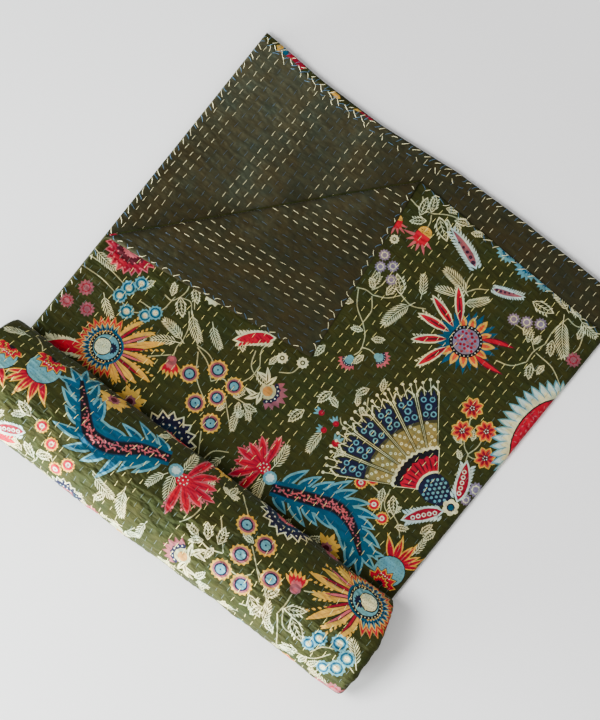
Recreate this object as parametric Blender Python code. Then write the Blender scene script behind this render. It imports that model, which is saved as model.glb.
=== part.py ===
"""Kantha quilt: one quilted cloth folded to eight layers, one end rolled up over the flat part.

The cloth is two cotton sheets stitched face to face in close running rows, so it is one sheet here.
It was folded crosswise into a pair, then lengthwise twice; the pair is modelled as an outer and an
inner sheet, each going back and forth through four of the eight layers.
X runs along the roll, Y from the roll to the loose hems, Z up from the surface it lies on.
"""
import math

import bmesh
import bpy
from mathutils import Vector
from mathutils.geometry import delaunay_2d_cdt

for old in list(bpy.data.objects):
    bpy.data.objects.remove(old)

# Cloth
SHEET = 0.0011
PUFF = 0.00035
ROW = 0.01077
PITCH = 0.00165
LAYERS = 8
HEM_WIDTH = 0.008
HEM_RAISE = 0.0002

# Folded stack: half its width, and where its loose layers leave the roll
HALF_WIDTH = 0.2855
LOOSE_FROM = -0.205
FOLD_STEPS = 6
RIPPLE = 0.0008
RIPPLE_FADE = 0.030
LEFT_LEAN = 0.0085

# Layers in the order each sheet passes through them, counted up from the surface
OUTER_SHEET = (8, 1, 4, 5)
INNER_SHEET = (7, 2, 3, 6)
OUTER_ROWS = (0.0, 0.2, 0.4, 0.6, 0.8)
INNER_ROWS = (0.0, 0.5)
PLAIN_COLUMNS = 4

# Left hem of each loose layer
HEM_X = {8: -0.2843, 7: -0.2855, 6: -0.2832, 5: -0.2849}

# Top hem of each layer: Y at the stations across the width
HEM_STATIONS = (-0.285, -0.160, -0.080, 0.015, 0.120, 0.285)
HEM_Y = {
    8: (0.2745, 0.2760, 0.2770, 0.2755, 0.2695, 0.2625),
    7: (0.3095, 0.3010, 0.3045, 0.3150, 0.3160, 0.3115),
    6: (0.3010, 0.2975, 0.3005, 0.3095, 0.3120, 0.3040),
    5: (0.3030, 0.2985, 0.2990, 0.3110, 0.3100, 0.3020),
    4: (0.2965, 0.2960, 0.3010, 0.3080, 0.3115, 0.3020),
    3: (0.2990, 0.2980, 0.2985, 0.3100, 0.3090, 0.3040),
    2: (0.3000, 0.2970, 0.3015, 0.3085, 0.3120, 0.3115),
    1: (0.2980, 0.2950, 0.2995, 0.3105, 0.3105, 0.3060),
}

# Corner of the top layer, folded back on a slanting crease
CREASE_LOW = (-0.2812, -0.0274)
CREASE_HIGH = (-0.0138, 0.2757)
CREASE_RADIUS = 0.0034
CREASE_STEPS = 4
FLAP_GAP = 0.0031
FLAP_SETTLE = 0.038

# Roll: an oval coil of the whole stack
BAND = 0.0135
COIL_Y = -0.2471
COIL_HALF_LENGTH = 0.07225
COIL_HALF_HEIGHT = 0.0504
COIL_SAG = 0.0040
COIL_STEP = 22.5
COIL_SQUARE = 0.93
COIL_PUFF = 0.0006
COIL_SWELL = 0.0016
COIL_LEAN = 0.0035
END_ROUND = 0.004
CORE_FROM = 810.0

# How far each end of the coil stands out, by the turn of the coil in degrees from its underside
COIL_ENDS = (
    # turn, left, right
    (-22.5, -0.2895, 0.2895),
    (0.0, -0.2905, 0.2935),
    (45.0, -0.3020, 0.3120),
    (90.0, -0.3080, 0.3165),
    (135.0, -0.3090, 0.3225),
    (180.0, -0.3060, 0.3215),
    (225.0, -0.2995, 0.3075),
    (270.0, -0.2940, 0.2935),
    (315.0, -0.2900, 0.2900),
    (337.5, -0.2895, 0.2895),
    (405.0, -0.2830, 0.2840),
    (450.0, -0.2900, 0.2970),
    (540.0, -0.2880, 0.3000),
    (630.0, -0.2800, 0.2850),
    (720.0, -0.2740, 0.2760),
    (810.0, -0.2700, 0.2740),
)


def between(value, low, high):
    """0 at low, 1 at high, straight in between."""
    return min(max((value - low) / (high - low), 0.0), 1.0)


def read_table(value, stations, heights):
    """Straight-line reading of a table at a value."""
    for k in range(len(stations) - 1):
        if value <= stations[k + 1] or k == len(stations) - 2:
            part = between(value, stations[k], stations[k + 1])
            return heights[k] + part * (heights[k + 1] - heights[k])
    return heights[-1]


def layer_height(layer):
    return SHEET / 2 + (layer - 1) * PITCH


def hem_y(layer, x):
    return read_table(x, HEM_STATIONS, HEM_Y[layer])


def puff(x, start):
    """Rise between two stitch rows, nothing on a row."""
    part = ((x - start) / ROW) % 1.0
    return 1.0 - abs(2.0 * part - 1.0)


RIGHT_AXIS = HALF_WIDTH - SHEET / 2 - PITCH * (LAYERS - 1) / 2
LEFT_AXIS = -HALF_WIDTH + SHEET / 2 + PITCH * 1.5


def fold_section(order):
    """Stations of one sheet's back-and-forth section: middle point, outward side, hem position."""
    stations = []
    for k, layer in enumerate(order):
        heading = 1 if k % 2 == 0 else -1
        if heading > 0:
            start = HEM_X.get(layer, LEFT_AXIS)
            end = RIGHT_AXIS
        else:
            start = RIGHT_AXIS
            end = HEM_X.get(layer, LEFT_AXIS)
        columns = PLAIN_COLUMNS
        if layer == order[0]:
            columns = 2 * round((end - start) / ROW)
        for i in range(columns + 1):
            x = start + (end - start) * i / columns
            stations.append((x, layer_height(layer), 0.0, heading, hem_y(layer, x), layer))
        if k == len(order) - 1:
            continue
        after = order[k + 1]
        climb = (layer_height(after) - layer_height(layer)) / 2
        middle = layer_height(layer) + climb
        clockwise = 1.0 if climb * heading < 0 else -1.0
        for i in range(1, FOLD_STEPS):
            turn = math.pi * i / FOLD_STEPS
            reach = abs(climb) * heading * math.sin(turn)
            rise = -climb * math.cos(turn)
            out_x = clockwise * reach / abs(climb)
            out_z = clockwise * rise / abs(climb)
            hem = hem_y(layer, end) + (hem_y(after, end) - hem_y(layer, end)) * i / FOLD_STEPS
            stations.append((end + reach, middle + rise, out_x, out_z, hem, 0))
    return stations


mesh = bmesh.new()


def add(x, y, z):
    return mesh.verts.new((x, y, z))


def cover(corners):
    """One face, leaving out corners that fall together."""
    kept = []
    for vert in corners:
        if vert not in kept:
            kept.append(vert)
    if len(kept) > 2:
        mesh.faces.new(kept)


def fold_sheet(order, rows):
    """One sheet as a closed ribbon, open only where it enters the roll."""
    stations = fold_section(order)
    sides = []
    for way in (1, -1):
        columns = []
        for x, z, out_x, out_z, hem, layer in stations:
            levels = [LOOSE_FROM + part * (hem - LOOSE_FROM) for part in rows]
            levels += [hem - HEM_WIDTH, hem]
            off = way * SHEET / 2
            columns.append([add(x + off * out_x, y, z + off * out_z) for y in levels])
        sides.append(columns)
    outer, inner = sides
    for columns in sides:
        for i in range(len(columns) - 1):
            for j in range(len(columns[i]) - 1):
                cover((columns[i][j], columns[i + 1][j], columns[i + 1][j + 1], columns[i][j + 1]))
    for i in range(len(outer) - 1):
        cover((outer[i][-1], outer[i + 1][-1], inner[i + 1][-1], inner[i][-1]))
    for end in (0, -1):
        for j in range(len(outer[0]) - 1):
            cover((outer[end][j], outer[end][j + 1], inner[end][j + 1], inner[end][j]))
    top = [i for i, station in enumerate(stations) if station[5] == order[0]]
    face_of_top = [vert for columns in sides for i in top for vert in columns[i]]
    loop = [column[0] for column in outer] + [column[0] for column in reversed(inner)]
    bottom = [outer[i][0] for i, station in enumerate(stations) if station[5] == 1]
    return face_of_top, loop, bottom


# Crease line: a point on it, the way along it, and the way out to the loose corner
crease_run = Vector((CREASE_HIGH[0] - CREASE_LOW[0], CREASE_HIGH[1] - CREASE_LOW[1], 0.0)).normalized()
crease_out = Vector((-crease_run.y, crease_run.x, 0.0))
crease_start = Vector((CREASE_LOW[0], CREASE_LOW[1], 0.0)) - crease_out * CREASE_RADIUS
crease_length = math.pi * CREASE_RADIUS


def past_crease(x, y):
    return (Vector((x, y, 0.0)) - crease_start).dot(crease_out)


def ripple(x, y):
    """Soft lift of the top layer off the layer under it."""
    wave = 0.5 + 0.5 * math.sin(math.tau * (x / 0.27 + y / 0.36) + 0.6)
    fade = between(RIGHT_AXIS - x, 0.0, RIPPLE_FADE) * between(y - LOOSE_FROM, 0.0, RIPPLE_FADE)
    return RIPPLE * wave * fade


def lay_top_layer(verts):
    """Quilting, soft lift and the folded-back corner of the uppermost layer."""
    height = layer_height(LAYERS)
    for vert in verts:
        x, y, z = vert.co
        out = past_crease(x, y)
        off = z - height
        raised = PUFF * puff(x, HEM_X[LAYERS])
        if hem_y(LAYERS, x) - y < HEM_WIDTH / 2:
            raised += HEM_RAISE
        if off > 0 and out <= 0:
            off += raised
        if off < 0 and out > 0:
            off -= raised * between(out, 0.0, crease_length)
        if out <= 0:
            vert.co = (x, y, height + off + ripple(x, y))
            continue
        foot = Vector((x, y, 0.0)) - crease_out * out
        turn = min(out / CREASE_RADIUS, math.pi)
        along = (CREASE_RADIUS - off) * math.sin(turn) - max(out - crease_length, 0.0)
        up = CREASE_RADIUS - (CREASE_RADIUS - off) * math.cos(turn)
        settle = between(out, crease_length, crease_length + FLAP_SETTLE)
        settle = settle * settle * (3.0 - 2.0 * settle)
        up -= settle * (2.0 * CREASE_RADIUS - FLAP_GAP)
        place = foot + crease_out * along
        vert.co = (place.x, place.y, height + up + ripple(place.x, place.y))


def quilt_inner_layer(verts):
    """Quilting of the layer seen under the folded corner and beyond the top hem."""
    height = layer_height(LAYERS - 1)
    for vert in verts:
        x, y, z = vert.co
        if z < height:
            continue
        seen = past_crease(x, y) > 0 or y > hem_y(LAYERS, x)
        if seen:
            raised = PUFF * puff(x, HEM_X[LAYERS - 1])
            if hem_y(LAYERS - 1, x) - y < HEM_WIDTH / 2:
                raised += HEM_RAISE
            vert.co.z = z + raised


outer_top, outer_loop, outer_bottom = fold_sheet(OUTER_SHEET, OUTER_ROWS)
inner_top, inner_loop, inner_bottom = fold_sheet(INNER_SHEET, INNER_ROWS)

# The top layer is cut along the crease so that it can bend there
for k in range(CREASE_STEPS + 1):
    at = crease_start + crease_out * (crease_length * k / CREASE_STEPS)
    mesh.verts.ensure_lookup_table()
    faces = {face for vert in outer_top if vert.is_valid for face in vert.link_faces}
    floor = layer_height(LAYERS) - PITCH / 2
    faces = [face for face in faces if min(vert.co.z for vert in face.verts) > floor]
    edges = {edge for face in faces for edge in face.edges}
    verts = {vert for face in faces for vert in face.verts}
    cut = bmesh.ops.bisect_plane(
        mesh, geom=list(verts) + list(edges) + faces, plane_co=at, plane_no=crease_out, dist=1e-6
    )
    outer_top += [item for item in cut["geom_cut"] if isinstance(item, bmesh.types.BMVert)]
lay_top_layer(set(outer_top))
quilt_inner_layer(inner_top)

# The stack's left side leans out a little towards the hems
for vert in mesh.verts:
    share = between(-vert.co.x, -HALF_WIDTH, HALF_WIDTH) * (vert.co.y - LOOSE_FROM) / (0.3 - LOOSE_FROM)
    vert.co.x -= LEFT_LEAN * share


# ---- Roll
def coil_point(turn):
    """The line between one turn of the coil and the next, in Y and Z; the turn is in degrees."""
    shrink = BAND * turn / 360.0
    angle = math.radians(turn)
    across = math.sin(angle)
    up = -math.cos(angle)
    across = math.copysign(abs(across) ** COIL_SQUARE, across)
    up = math.copysign(abs(up) ** COIL_SQUARE, up)
    y = COIL_Y - (COIL_HALF_LENGTH - shrink) * across
    z = COIL_HALF_HEIGHT - COIL_SAG + (COIL_HALF_HEIGHT - shrink) * up
    floor = BAND * round(turn / 360.0)
    if abs(turn - 360.0 * round(turn / 360.0)) < COIL_STEP + 1.0:
        z = floor
    return y, max(z, floor)


def coil_end(turn, side):
    stations = [row[0] for row in COIL_ENDS]
    return read_table(turn, stations, [row[side] for row in COIL_ENDS])


def lean(x, y, z):
    """The roll runs very slightly aslant to the stack."""
    return y + COIL_LEAN * (x / HALF_WIDTH) * between(z, 0.0, 2 * BAND)


skin_turns = [COIL_STEP * k for k in range(1, round(360.0 / COIL_STEP))]

# Outer turn, with its quilting
columns = 2 * round(2 * HALF_WIDTH / ROW)
skin = []
for turn in skin_turns:
    y, z = coil_point(turn)
    before = coil_point(turn - 2.0)
    after = coil_point(turn + 2.0)
    out = Vector((before[1] - after[1], after[0] - before[0])).normalized()
    free = 0.0 if turn in (skin_turns[0], skin_turns[-1]) else 1.0
    left = coil_end(turn, 1) + END_ROUND
    right = coil_end(turn, 2) - END_ROUND
    row = []
    for i in range(columns + 1):
        part = i / columns
        x = left + part * (right - left)
        swell = COIL_SWELL * math.sin(math.tau * (1.7 * part + turn / 500.0))
        pinch = COIL_PUFF if i % 2 == 0 else 0.0
        rise = free * (swell * math.sin(math.pi * part) - pinch)
        py = y + rise * out.x
        pz = z + rise * out.y
        row.append(add(x, lean(x, py, pz), pz))
    skin.append(row)
for low, high in zip(skin, skin[1:]):
    for i in range(columns):
        cover((low[i], low[i + 1], high[i + 1], high[i]))

# Wall where the loose layers enter the roll's lowest turn
wall_edge = HALF_WIDTH + 0.0006
corners = {}
for side, x in ((1, -wall_edge), (2, wall_edge)):
    corners[side] = (add(x, LOOSE_FROM, 0.0), add(x, LOOSE_FROM, BAND))
bottom_row = sorted(outer_bottom, key=lambda vert: vert.co.x)
bottom_row = [corners[1][0]] + bottom_row + [corners[2][0]]
rim = bottom_row + [corners[2][1], corners[1][1]]


def inside(point, outline):
    """True if the point lies in the outline."""
    hit = False
    for a, b in zip(outline, outline[1:] + outline[:1]):
        if (a[1] > point[1]) != (b[1] > point[1]):
            if point[0] < a[0] + (b[0] - a[0]) * (point[1] - a[1]) / (b[1] - a[1]):
                hit = not hit
    return hit


def fill_flat(outline, holes, axes):
    """Flat face inside an outline and outside its holes; axes are the two coordinates it lies in."""
    loops = [outline] + holes
    verts = []
    for loop in loops:
        verts += [vert for vert in loop if vert not in verts]
    place = {vert: k for k, vert in enumerate(verts)}
    flat = [Vector((vert.co[axes[0]] * 1000.0, vert.co[axes[1]] * 1000.0)) for vert in verts]
    edges = []
    for loop in loops:
        edges += [(place[a], place[b]) for a, b in zip(loop, loop[1:] + loop[:1])]
    result = delaunay_2d_cdt(flat, edges, [], 1, 1e-7, True)
    shapes = [[flat[place[vert]] for vert in loop] for loop in loops]
    for face in result[2]:
        points = [result[0][k] for k in face]
        middle = sum(points, Vector((0.0, 0.0))) / len(points)
        if not inside(middle, shapes[0]) or any(inside(middle, shape) for shape in shapes[1:]):
            continue
        cover([verts[result[3][k][0]] for k in face])


fill_flat(rim, [outer_loop, inner_loop], (0, 2))

# Ends of the coil: each turn's rounded edge, stepped back turn by turn, and the folded core
ends = {}
for side, outward in ((1, -1.0), (2, 1.0)):
    column = 0 if side == 1 else -1
    outer_edge = {}
    inner_edge = {}
    middle_edge = {}
    for turn, row in zip(skin_turns, skin):
        outer_edge[turn] = row[column]
    turn = -COIL_STEP
    while turn <= CORE_FROM + 1e-6:
        y, z = coil_point(turn)
        x = coil_end(turn, side)
        if turn not in outer_edge:
            outer_edge[turn] = add(x - outward * END_ROUND, lean(x, y, z), z)
        beyond = coil_point(turn + 360.0)
        middle_y = (y + beyond[0]) / 2
        middle_z = (z + beyond[1]) / 2
        level = x - outward * END_ROUND
        if turn == CORE_FROM:
            x = level
        middle_edge[turn] = add(x, lean(x, middle_y, middle_z), middle_z)
        if turn + 360.0 == skin_turns[-1]:
            inner_edge[turn] = skin[-1][column]
        else:
            inner_edge[turn] = add(level, lean(level, *beyond), beyond[1])
        turn += COIL_STEP
    low, high = corners[side]
    first = -COIL_STEP
    cover((low, outer_edge[first], middle_edge[first]))
    cover((low, middle_edge[first], high))
    cover((high, middle_edge[first], inner_edge[first]))
    core_level = coil_end(CORE_FROM, side) - outward * END_ROUND
    turn = first
    while turn < CORE_FROM - 1e-6:
        after = turn + COIL_STEP
        cover((outer_edge[turn], outer_edge[after], middle_edge[after], middle_edge[turn]))
        cover((middle_edge[turn], middle_edge[after], inner_edge[after], inner_edge[turn]))
        beyond = turn + 360.0
        if beyond < CORE_FROM - 1e-6:
            cover((inner_edge[turn], inner_edge[after], outer_edge[beyond + COIL_STEP], outer_edge[beyond]))
        turn = after
    core = [outer_edge[CORE_FROM]]
    turn = CORE_FROM + COIL_STEP
    while turn < CORE_FROM + 360.0 - 1e-6:
        y, z = coil_point(turn)
        core.append(add(core_level, lean(core_level, y, z), z))
        turn += COIL_STEP
    core.append(inner_edge[CORE_FROM])
    for k in range(len(core) - 1):
        turn = CORE_FROM - 360.0 + k * COIL_STEP
        cover((inner_edge[turn], inner_edge[turn + COIL_STEP], core[k + 1], core[k]))
    cover(core + [middle_edge[CORE_FROM]])
    ends[side] = outer_edge

# Underside of the roll, flat on the surface, and the short top of its lowest turn
def join_rows(near, far):
    """Faces between two rows of points that need not match in number, both running left to right."""
    i, j = 0, 0
    while i < len(near) - 1 or j < len(far) - 1:
        near_next = near[i + 1].co.x if i < len(near) - 1 else math.inf
        far_next = far[j + 1].co.x if j < len(far) - 1 else math.inf
        if near_next <= far_next:
            cover((near[i], near[i + 1], far[j]))
            i += 1
        else:
            cover((near[i], far[j + 1], far[j]))
            j += 1


under = [bottom_row]
under += [[ends[1][turn], ends[2][turn]] for turn in (-COIL_STEP, 0.0)]
under += [skin[0]]
for near, far in zip(under, under[1:]):
    join_rows(near, far)
join_rows(skin[-1], [corners[1][1], corners[2][1]])

# One closed solid, standing over the middle of its own outline
bmesh.ops.triangulate(mesh, faces=mesh.faces[:], quad_method="SHORT_EDGE")
bmesh.ops.recalc_face_normals(mesh, faces=mesh.faces[:])
for axis in (0, 1):
    low = min(vert.co[axis] for vert in mesh.verts)
    high = max(vert.co[axis] for vert in mesh.verts)
    for vert in mesh.verts:
        vert.co[axis] -= (low + high) / 2

data = bpy.data.meshes.new("kantha_quilt")
mesh.to_mesh(data)
mesh.free()
quilt = bpy.data.objects.new("kantha_quilt", data)
bpy.context.scene.collection.objects.link(quilt)
cotton = bpy.data.materials.new("quilt_cotton")
cotton.use_nodes = True
shader = cotton.node_tree.nodes["Principled BSDF"]
shader.inputs["Base Color"].default_value = (0.055, 0.065, 0.025, 1.0)
shader.inputs["Roughness"].default_value = 0.9
data.materials.append(cotton)
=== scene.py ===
import math
import random

import bpy
import numpy as np
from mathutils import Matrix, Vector
from mathutils.geometry import delaunay_2d_cdt


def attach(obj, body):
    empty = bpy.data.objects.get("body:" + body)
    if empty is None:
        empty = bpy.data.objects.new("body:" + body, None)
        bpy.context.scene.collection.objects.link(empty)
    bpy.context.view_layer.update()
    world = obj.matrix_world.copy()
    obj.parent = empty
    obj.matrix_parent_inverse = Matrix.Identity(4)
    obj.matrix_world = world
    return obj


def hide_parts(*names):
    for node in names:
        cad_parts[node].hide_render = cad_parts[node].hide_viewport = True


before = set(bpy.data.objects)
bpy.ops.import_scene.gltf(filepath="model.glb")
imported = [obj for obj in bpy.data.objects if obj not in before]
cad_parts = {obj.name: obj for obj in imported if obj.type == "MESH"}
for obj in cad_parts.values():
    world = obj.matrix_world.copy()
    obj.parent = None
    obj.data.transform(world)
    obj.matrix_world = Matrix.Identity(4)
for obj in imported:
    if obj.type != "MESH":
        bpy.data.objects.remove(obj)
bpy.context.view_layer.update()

# ---------------------------------------------------------------- The folded and rolled cloth
# The real quilt is two cotton sheets run together by hand with close rows of running stitch, then
# folded crosswise, folded lengthwise twice, and rolled up from one end. Here is all of that cloth
# except the top layer: the seven layers under it and every turn of the roll.

# In metres. HALF is half the folded width; the layers lie flat between LEFT and RIGHT, where their
# folds begin. LEFT_LEAN spreads the left side towards the hems, and MIDDLE centres the whole object.
SHEET = 0.0011
SHOWN_THICK = 0.0009
PITCH = 0.00165
HALF = 0.2855
RIGHT = HALF - SHEET / 2 - PITCH * 3.5
LEFT = -HALF + SHEET / 2 + PITCH * 1.5
ROLL_FROM = -0.205
TOP_HEMS = 0.3
LEFT_LEAN = 0.0085
FLOOR_GAP = 0.0002
MIDDLE = np.array([0.00675, -0.001855, 0.0])

# Place of each layer's left hem, and of its top hem at six places across; layer 8 is the uppermost.
HEM_LEFT = {8: -0.2843, 7: -0.2855, 6: -0.2832, 5: -0.2849}
HEM_AT = (-0.285, -0.160, -0.080, 0.015, 0.120, 0.285)
HEM_TOP = {
    8: (0.2745, 0.2760, 0.2770, 0.2755, 0.2695, 0.2625),
    7: (0.3095, 0.3010, 0.3045, 0.3150, 0.3160, 0.3115),
    6: (0.3010, 0.2975, 0.3005, 0.3095, 0.3120, 0.3040),
    5: (0.3030, 0.2985, 0.2990, 0.3110, 0.3100, 0.3020),
    4: (0.2965, 0.2960, 0.3010, 0.3080, 0.3115, 0.3020),
    3: (0.2990, 0.2980, 0.2985, 0.3100, 0.3090, 0.3040),
    2: (0.3000, 0.2970, 0.3015, 0.3085, 0.3120, 0.3115),
    1: (0.2980, 0.2950, 0.2995, 0.3105, 0.3105, 0.3060),
}

# The coil: thickness of the wound strip, then the middle and half sizes of its outer turn, which
# lies flat on the floor for TOUCH_TURN degrees either way and rounds up over EASE_TURN more. The
# coil sags, is a little squared and lies aslant. Its core is squeezed, and its turns have slid
# apart, so its half widths at the left and right ends go by turns.
BAND = 0.0135
COIL_Y = -0.2471
COIL_LONG = 0.07225
COIL_TALL = 0.0504
COIL_SAG = 0.0040
COIL_ROUND = 0.93
COIL_SLANT = 0.0035
TOUCH_TURN = 23.5
EASE_TURN = 18
SQUEEZE_TURNS = (810, 900, 1000, 1170)
SQUEEZE = (1.0, 1.0, 0.68, 0.6)
COIL_TURNS = (-22.5, 0, 45, 90, 135, 180, 225, 270, 315, 337.5, 405, 450, 540, 630, 720, 810, 1200)
COIL_LEFT = (
    0.2895, 0.2905, 0.3020, 0.3080, 0.3090, 0.3060, 0.2995, 0.2940, 0.2900, 0.2895,
    0.2830, 0.2900, 0.2880, 0.2800, 0.2740, 0.2700, 0.2680,
)
COIL_RIGHT = (
    0.2895, 0.2935, 0.3120, 0.3165, 0.3225, 0.3215, 0.3075, 0.2935, 0.2900, 0.2895,
    0.2840, 0.2970, 0.3000, 0.2850, 0.2760, 0.2740, 0.2720,
)


def hem_y(layer, x):
    return np.interp(x, HEM_AT, HEM_TOP[layer])


def level(layer):
    return SHEET / 2 + (layer - 1) * PITCH


def coil_line(turn):
    """Outer line of the coil in Y and Z, for turns in degrees counted from the underside."""
    turn = np.asarray(turn, float)
    shrink = BAND * turn / 360
    ways = np.sin(np.radians(turn)), -np.cos(np.radians(turn))
    across, up = (np.sign(way) * np.abs(way) ** COIL_ROUND for way in ways)
    y = COIL_Y - (COIL_LONG - shrink) * across
    z = COIL_TALL - COIL_SAG + (COIL_TALL - shrink) * up
    whole = np.round(turn / 360)
    near = np.abs(turn - 360 * whole)
    floor = BAND * whole
    ease = np.sqrt(np.clip((near - TOUCH_TURN) / EASE_TURN, 0, 1))
    return y, np.where(near < 90, floor + (np.maximum(z, floor) - floor) * ease, z)


# The coil's line from the flat cloth to its heart, the run of cloth up to each of its points, and
# the direction inwards there.
TURNS = np.arange(COIL_TURNS[0], 1171, 2.5)
COIL_YZ = np.stack(coil_line(TURNS), 1)
COIL_RUN = np.concatenate([[0], np.cumsum(np.hypot(*np.diff(COIL_YZ, axis=0).T))])
COIL_START = COIL_YZ[0, 0]
WAY = np.gradient(COIL_YZ, axis=0)
WAY /= np.linalg.norm(WAY, axis=1)[:, None]
COIL_IN = np.stack([WAY[:, 1], -WAY[:, 0]], 1)


def strip_point(x, height, y):
    """Place on the folded strip: x across it, height above its underside, y along it.

    y runs down from the hems; below the start of the coil it goes on round the roll.
    """
    x, height, y = np.broadcast_arrays(np.asarray(x, float), height, y)
    run = np.maximum(COIL_START - y, 0)
    turn = np.interp(run, COIL_RUN, TURNS)
    rolled = y < COIL_START
    at = [np.interp(turn, TURNS, COIL_YZ[:, k]) for k in (0, 1)]
    inward = [np.interp(turn, TURNS, COIL_IN[:, k]) for k in (0, 1)]
    deep = height * np.interp(turn, SQUEEZE_TURNS, SQUEEZE)
    py = np.where(rolled, at[0] + inward[0] * deep, y)
    pz = np.where(rolled, at[1] + inward[1] * deep, height)
    left, right = (np.interp(turn, COIL_TURNS, ends) for ends in (COIL_LEFT, COIL_RIGHT))
    start = np.interp(y, (COIL_START, ROLL_FROM), (COIL_LEFT[0], HALF))
    px = x / HALF * np.where(rolled, np.where(x < 0, left, right), start)
    py = py + np.where(rolled, COIL_SLANT * px / HALF * np.clip(pz / (2 * BAND), 0, 1), 0)
    share = np.clip((HALF - x) / (2 * HALF), 0, 1) * np.maximum(y - ROLL_FROM, 0) / (TOP_HEMS - ROLL_FROM)
    px = px - LEFT_LEAN * share
    return np.stack([px, py, np.maximum(pz, FLOOR_GAP)], -1) - MIDDLE


def fold_section(order, skip_first):
    """Middle line of one sheet through its layers: across, height, side that faces out, hem."""
    rows = []
    for k, layer in enumerate(order):
        heading = 1 if k % 2 == 0 else -1
        edge = HEM_LEFT.get(layer, LEFT)
        start, end = (edge, RIGHT) if heading > 0 else (RIGHT, edge)
        if not (skip_first and k == 0):
            for x in np.linspace(start, end, 7):
                rows.append((x, level(layer), 0, heading, hem_y(layer, x)))
        if k == len(order) - 1:
            continue
        after = order[k + 1]
        climb = (level(after) - level(layer)) / 2
        clockwise = 1 if climb * heading < 0 else -1
        for turn in np.linspace(0, math.pi, 9)[(0 if skip_first and k == 0 else 1) : -1]:
            reach = heading * abs(climb) * math.sin(turn)
            rise = -climb * math.cos(turn)
            hem = hem_y(layer, end) * (1 - turn / math.pi) + hem_y(after, end) * turn / math.pi
            out = (clockwise * reach / abs(climb), clockwise * rise / abs(climb))
            rows.append((end + reach, level(layer) + climb + rise, *out, hem))
    return np.array(rows)


def grid_faces(columns, rows, first=0):
    """Faces of a grid of points numbered row by row within each column."""
    i, j = np.meshgrid(np.arange(columns - 1), np.arange(rows - 1), indexing="ij")
    a = (first + i * rows + j).ravel()
    return np.stack([a, a + rows, a + rows + 1, a + 1], 1)


def shown_mesh(name, points, faces):
    data = bpy.data.meshes.new(name)
    data.from_pydata(np.asarray(points).tolist(), [], np.asarray(faces).tolist())
    data.validate()
    data.polygons.foreach_set("use_smooth", [True] * len(data.polygons))
    piece = bpy.data.objects.new(name, data)
    bpy.context.scene.collection.objects.link(piece)
    return piece


def ribbon(order, skip_first, start):
    """One sheet of the quilt as a closed ribbon from its hems, or from start, to the roll's heart."""
    section = fold_section(order, skip_first)
    coil = COIL_START - np.interp(np.arange(TURNS[0], 1151, 11.25), TURNS, COIL_RUN)
    points, faces = [], []
    for side in (1, -1):
        first = len(points)
        for x, height, out_x, out_z, hem in section:
            flat = np.linspace(hem if start is None else start, ROLL_FROM, 9 if start is None else 2)
            along = np.concatenate([flat, coil])
            off = side * SHOWN_THICK / 2
            points.extend(strip_point(x + off * out_x, height + off * out_z, along))
        rows = len(along)
        quads = grid_faces(len(section), rows, first)
        faces.extend(quads if side > 0 else quads[:, ::-1])
    n = len(section) * rows
    for j in range(rows - 1):
        faces.append((j, j + 1, n + j + 1, n + j))
        last = (len(section) - 1) * rows
        faces.append((last + j + 1, last + j, n + last + j, n + last + j + 1))
    for i in range(len(section) - 1):
        for j, flip in ((0, False), (rows - 1, True)):
            ring = (i * rows + j, n + i * rows + j, n + (i + 1) * rows + j, (i + 1) * rows + j)
            faces.append(ring[::-1] if flip else ring)
    return np.array(points), np.array(faces)


cloth_points, cloth_faces = [], []
for order, skip, start in (
    ((8, 1, 4, 5), True, None),
    ((7, 2, 3, 6), False, None),
    ((8,), False, ROLL_FROM + 0.004),
):
    points, faces = ribbon(order, skip, start)
    cloth_faces.append(faces + sum(len(p) for p in cloth_points))
    cloth_points.append(points)
quilt_cloth = shown_mesh("quilt_cloth", np.concatenate(cloth_points), np.concatenate(cloth_faces))


def colour(screen):
    """A screen colour, each part 0 to 255, as the linear colour a material takes."""
    parts = (value / 255 for value in screen)
    return (*(v / 12.92 if v <= 0.04045 else ((v + 0.055) / 1.055) ** 2.4 for v in parts), 1.0)


def new_material(name):
    """A material, a function that adds a step to its texture and one that sets its surface."""
    made = bpy.data.materials.new(name)
    made.use_nodes = True
    tree = made.node_tree

    def fill(sockets, node=tree.nodes["Principled BSDF"]):
        for socket, value in sockets.items():
            if isinstance(value, bpy.types.NodeSocket):
                tree.links.new(value, node.inputs[socket])
            else:
                node.inputs[socket].default_value = value

    def add(kind, sockets=None, **settings):
        node = tree.nodes.new("ShaderNode" + kind)
        for setting, value in settings.items():
            setattr(node, setting, value)
        fill(sockets or {}, node)
        return node.outputs

    return made, add, fill


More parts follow.
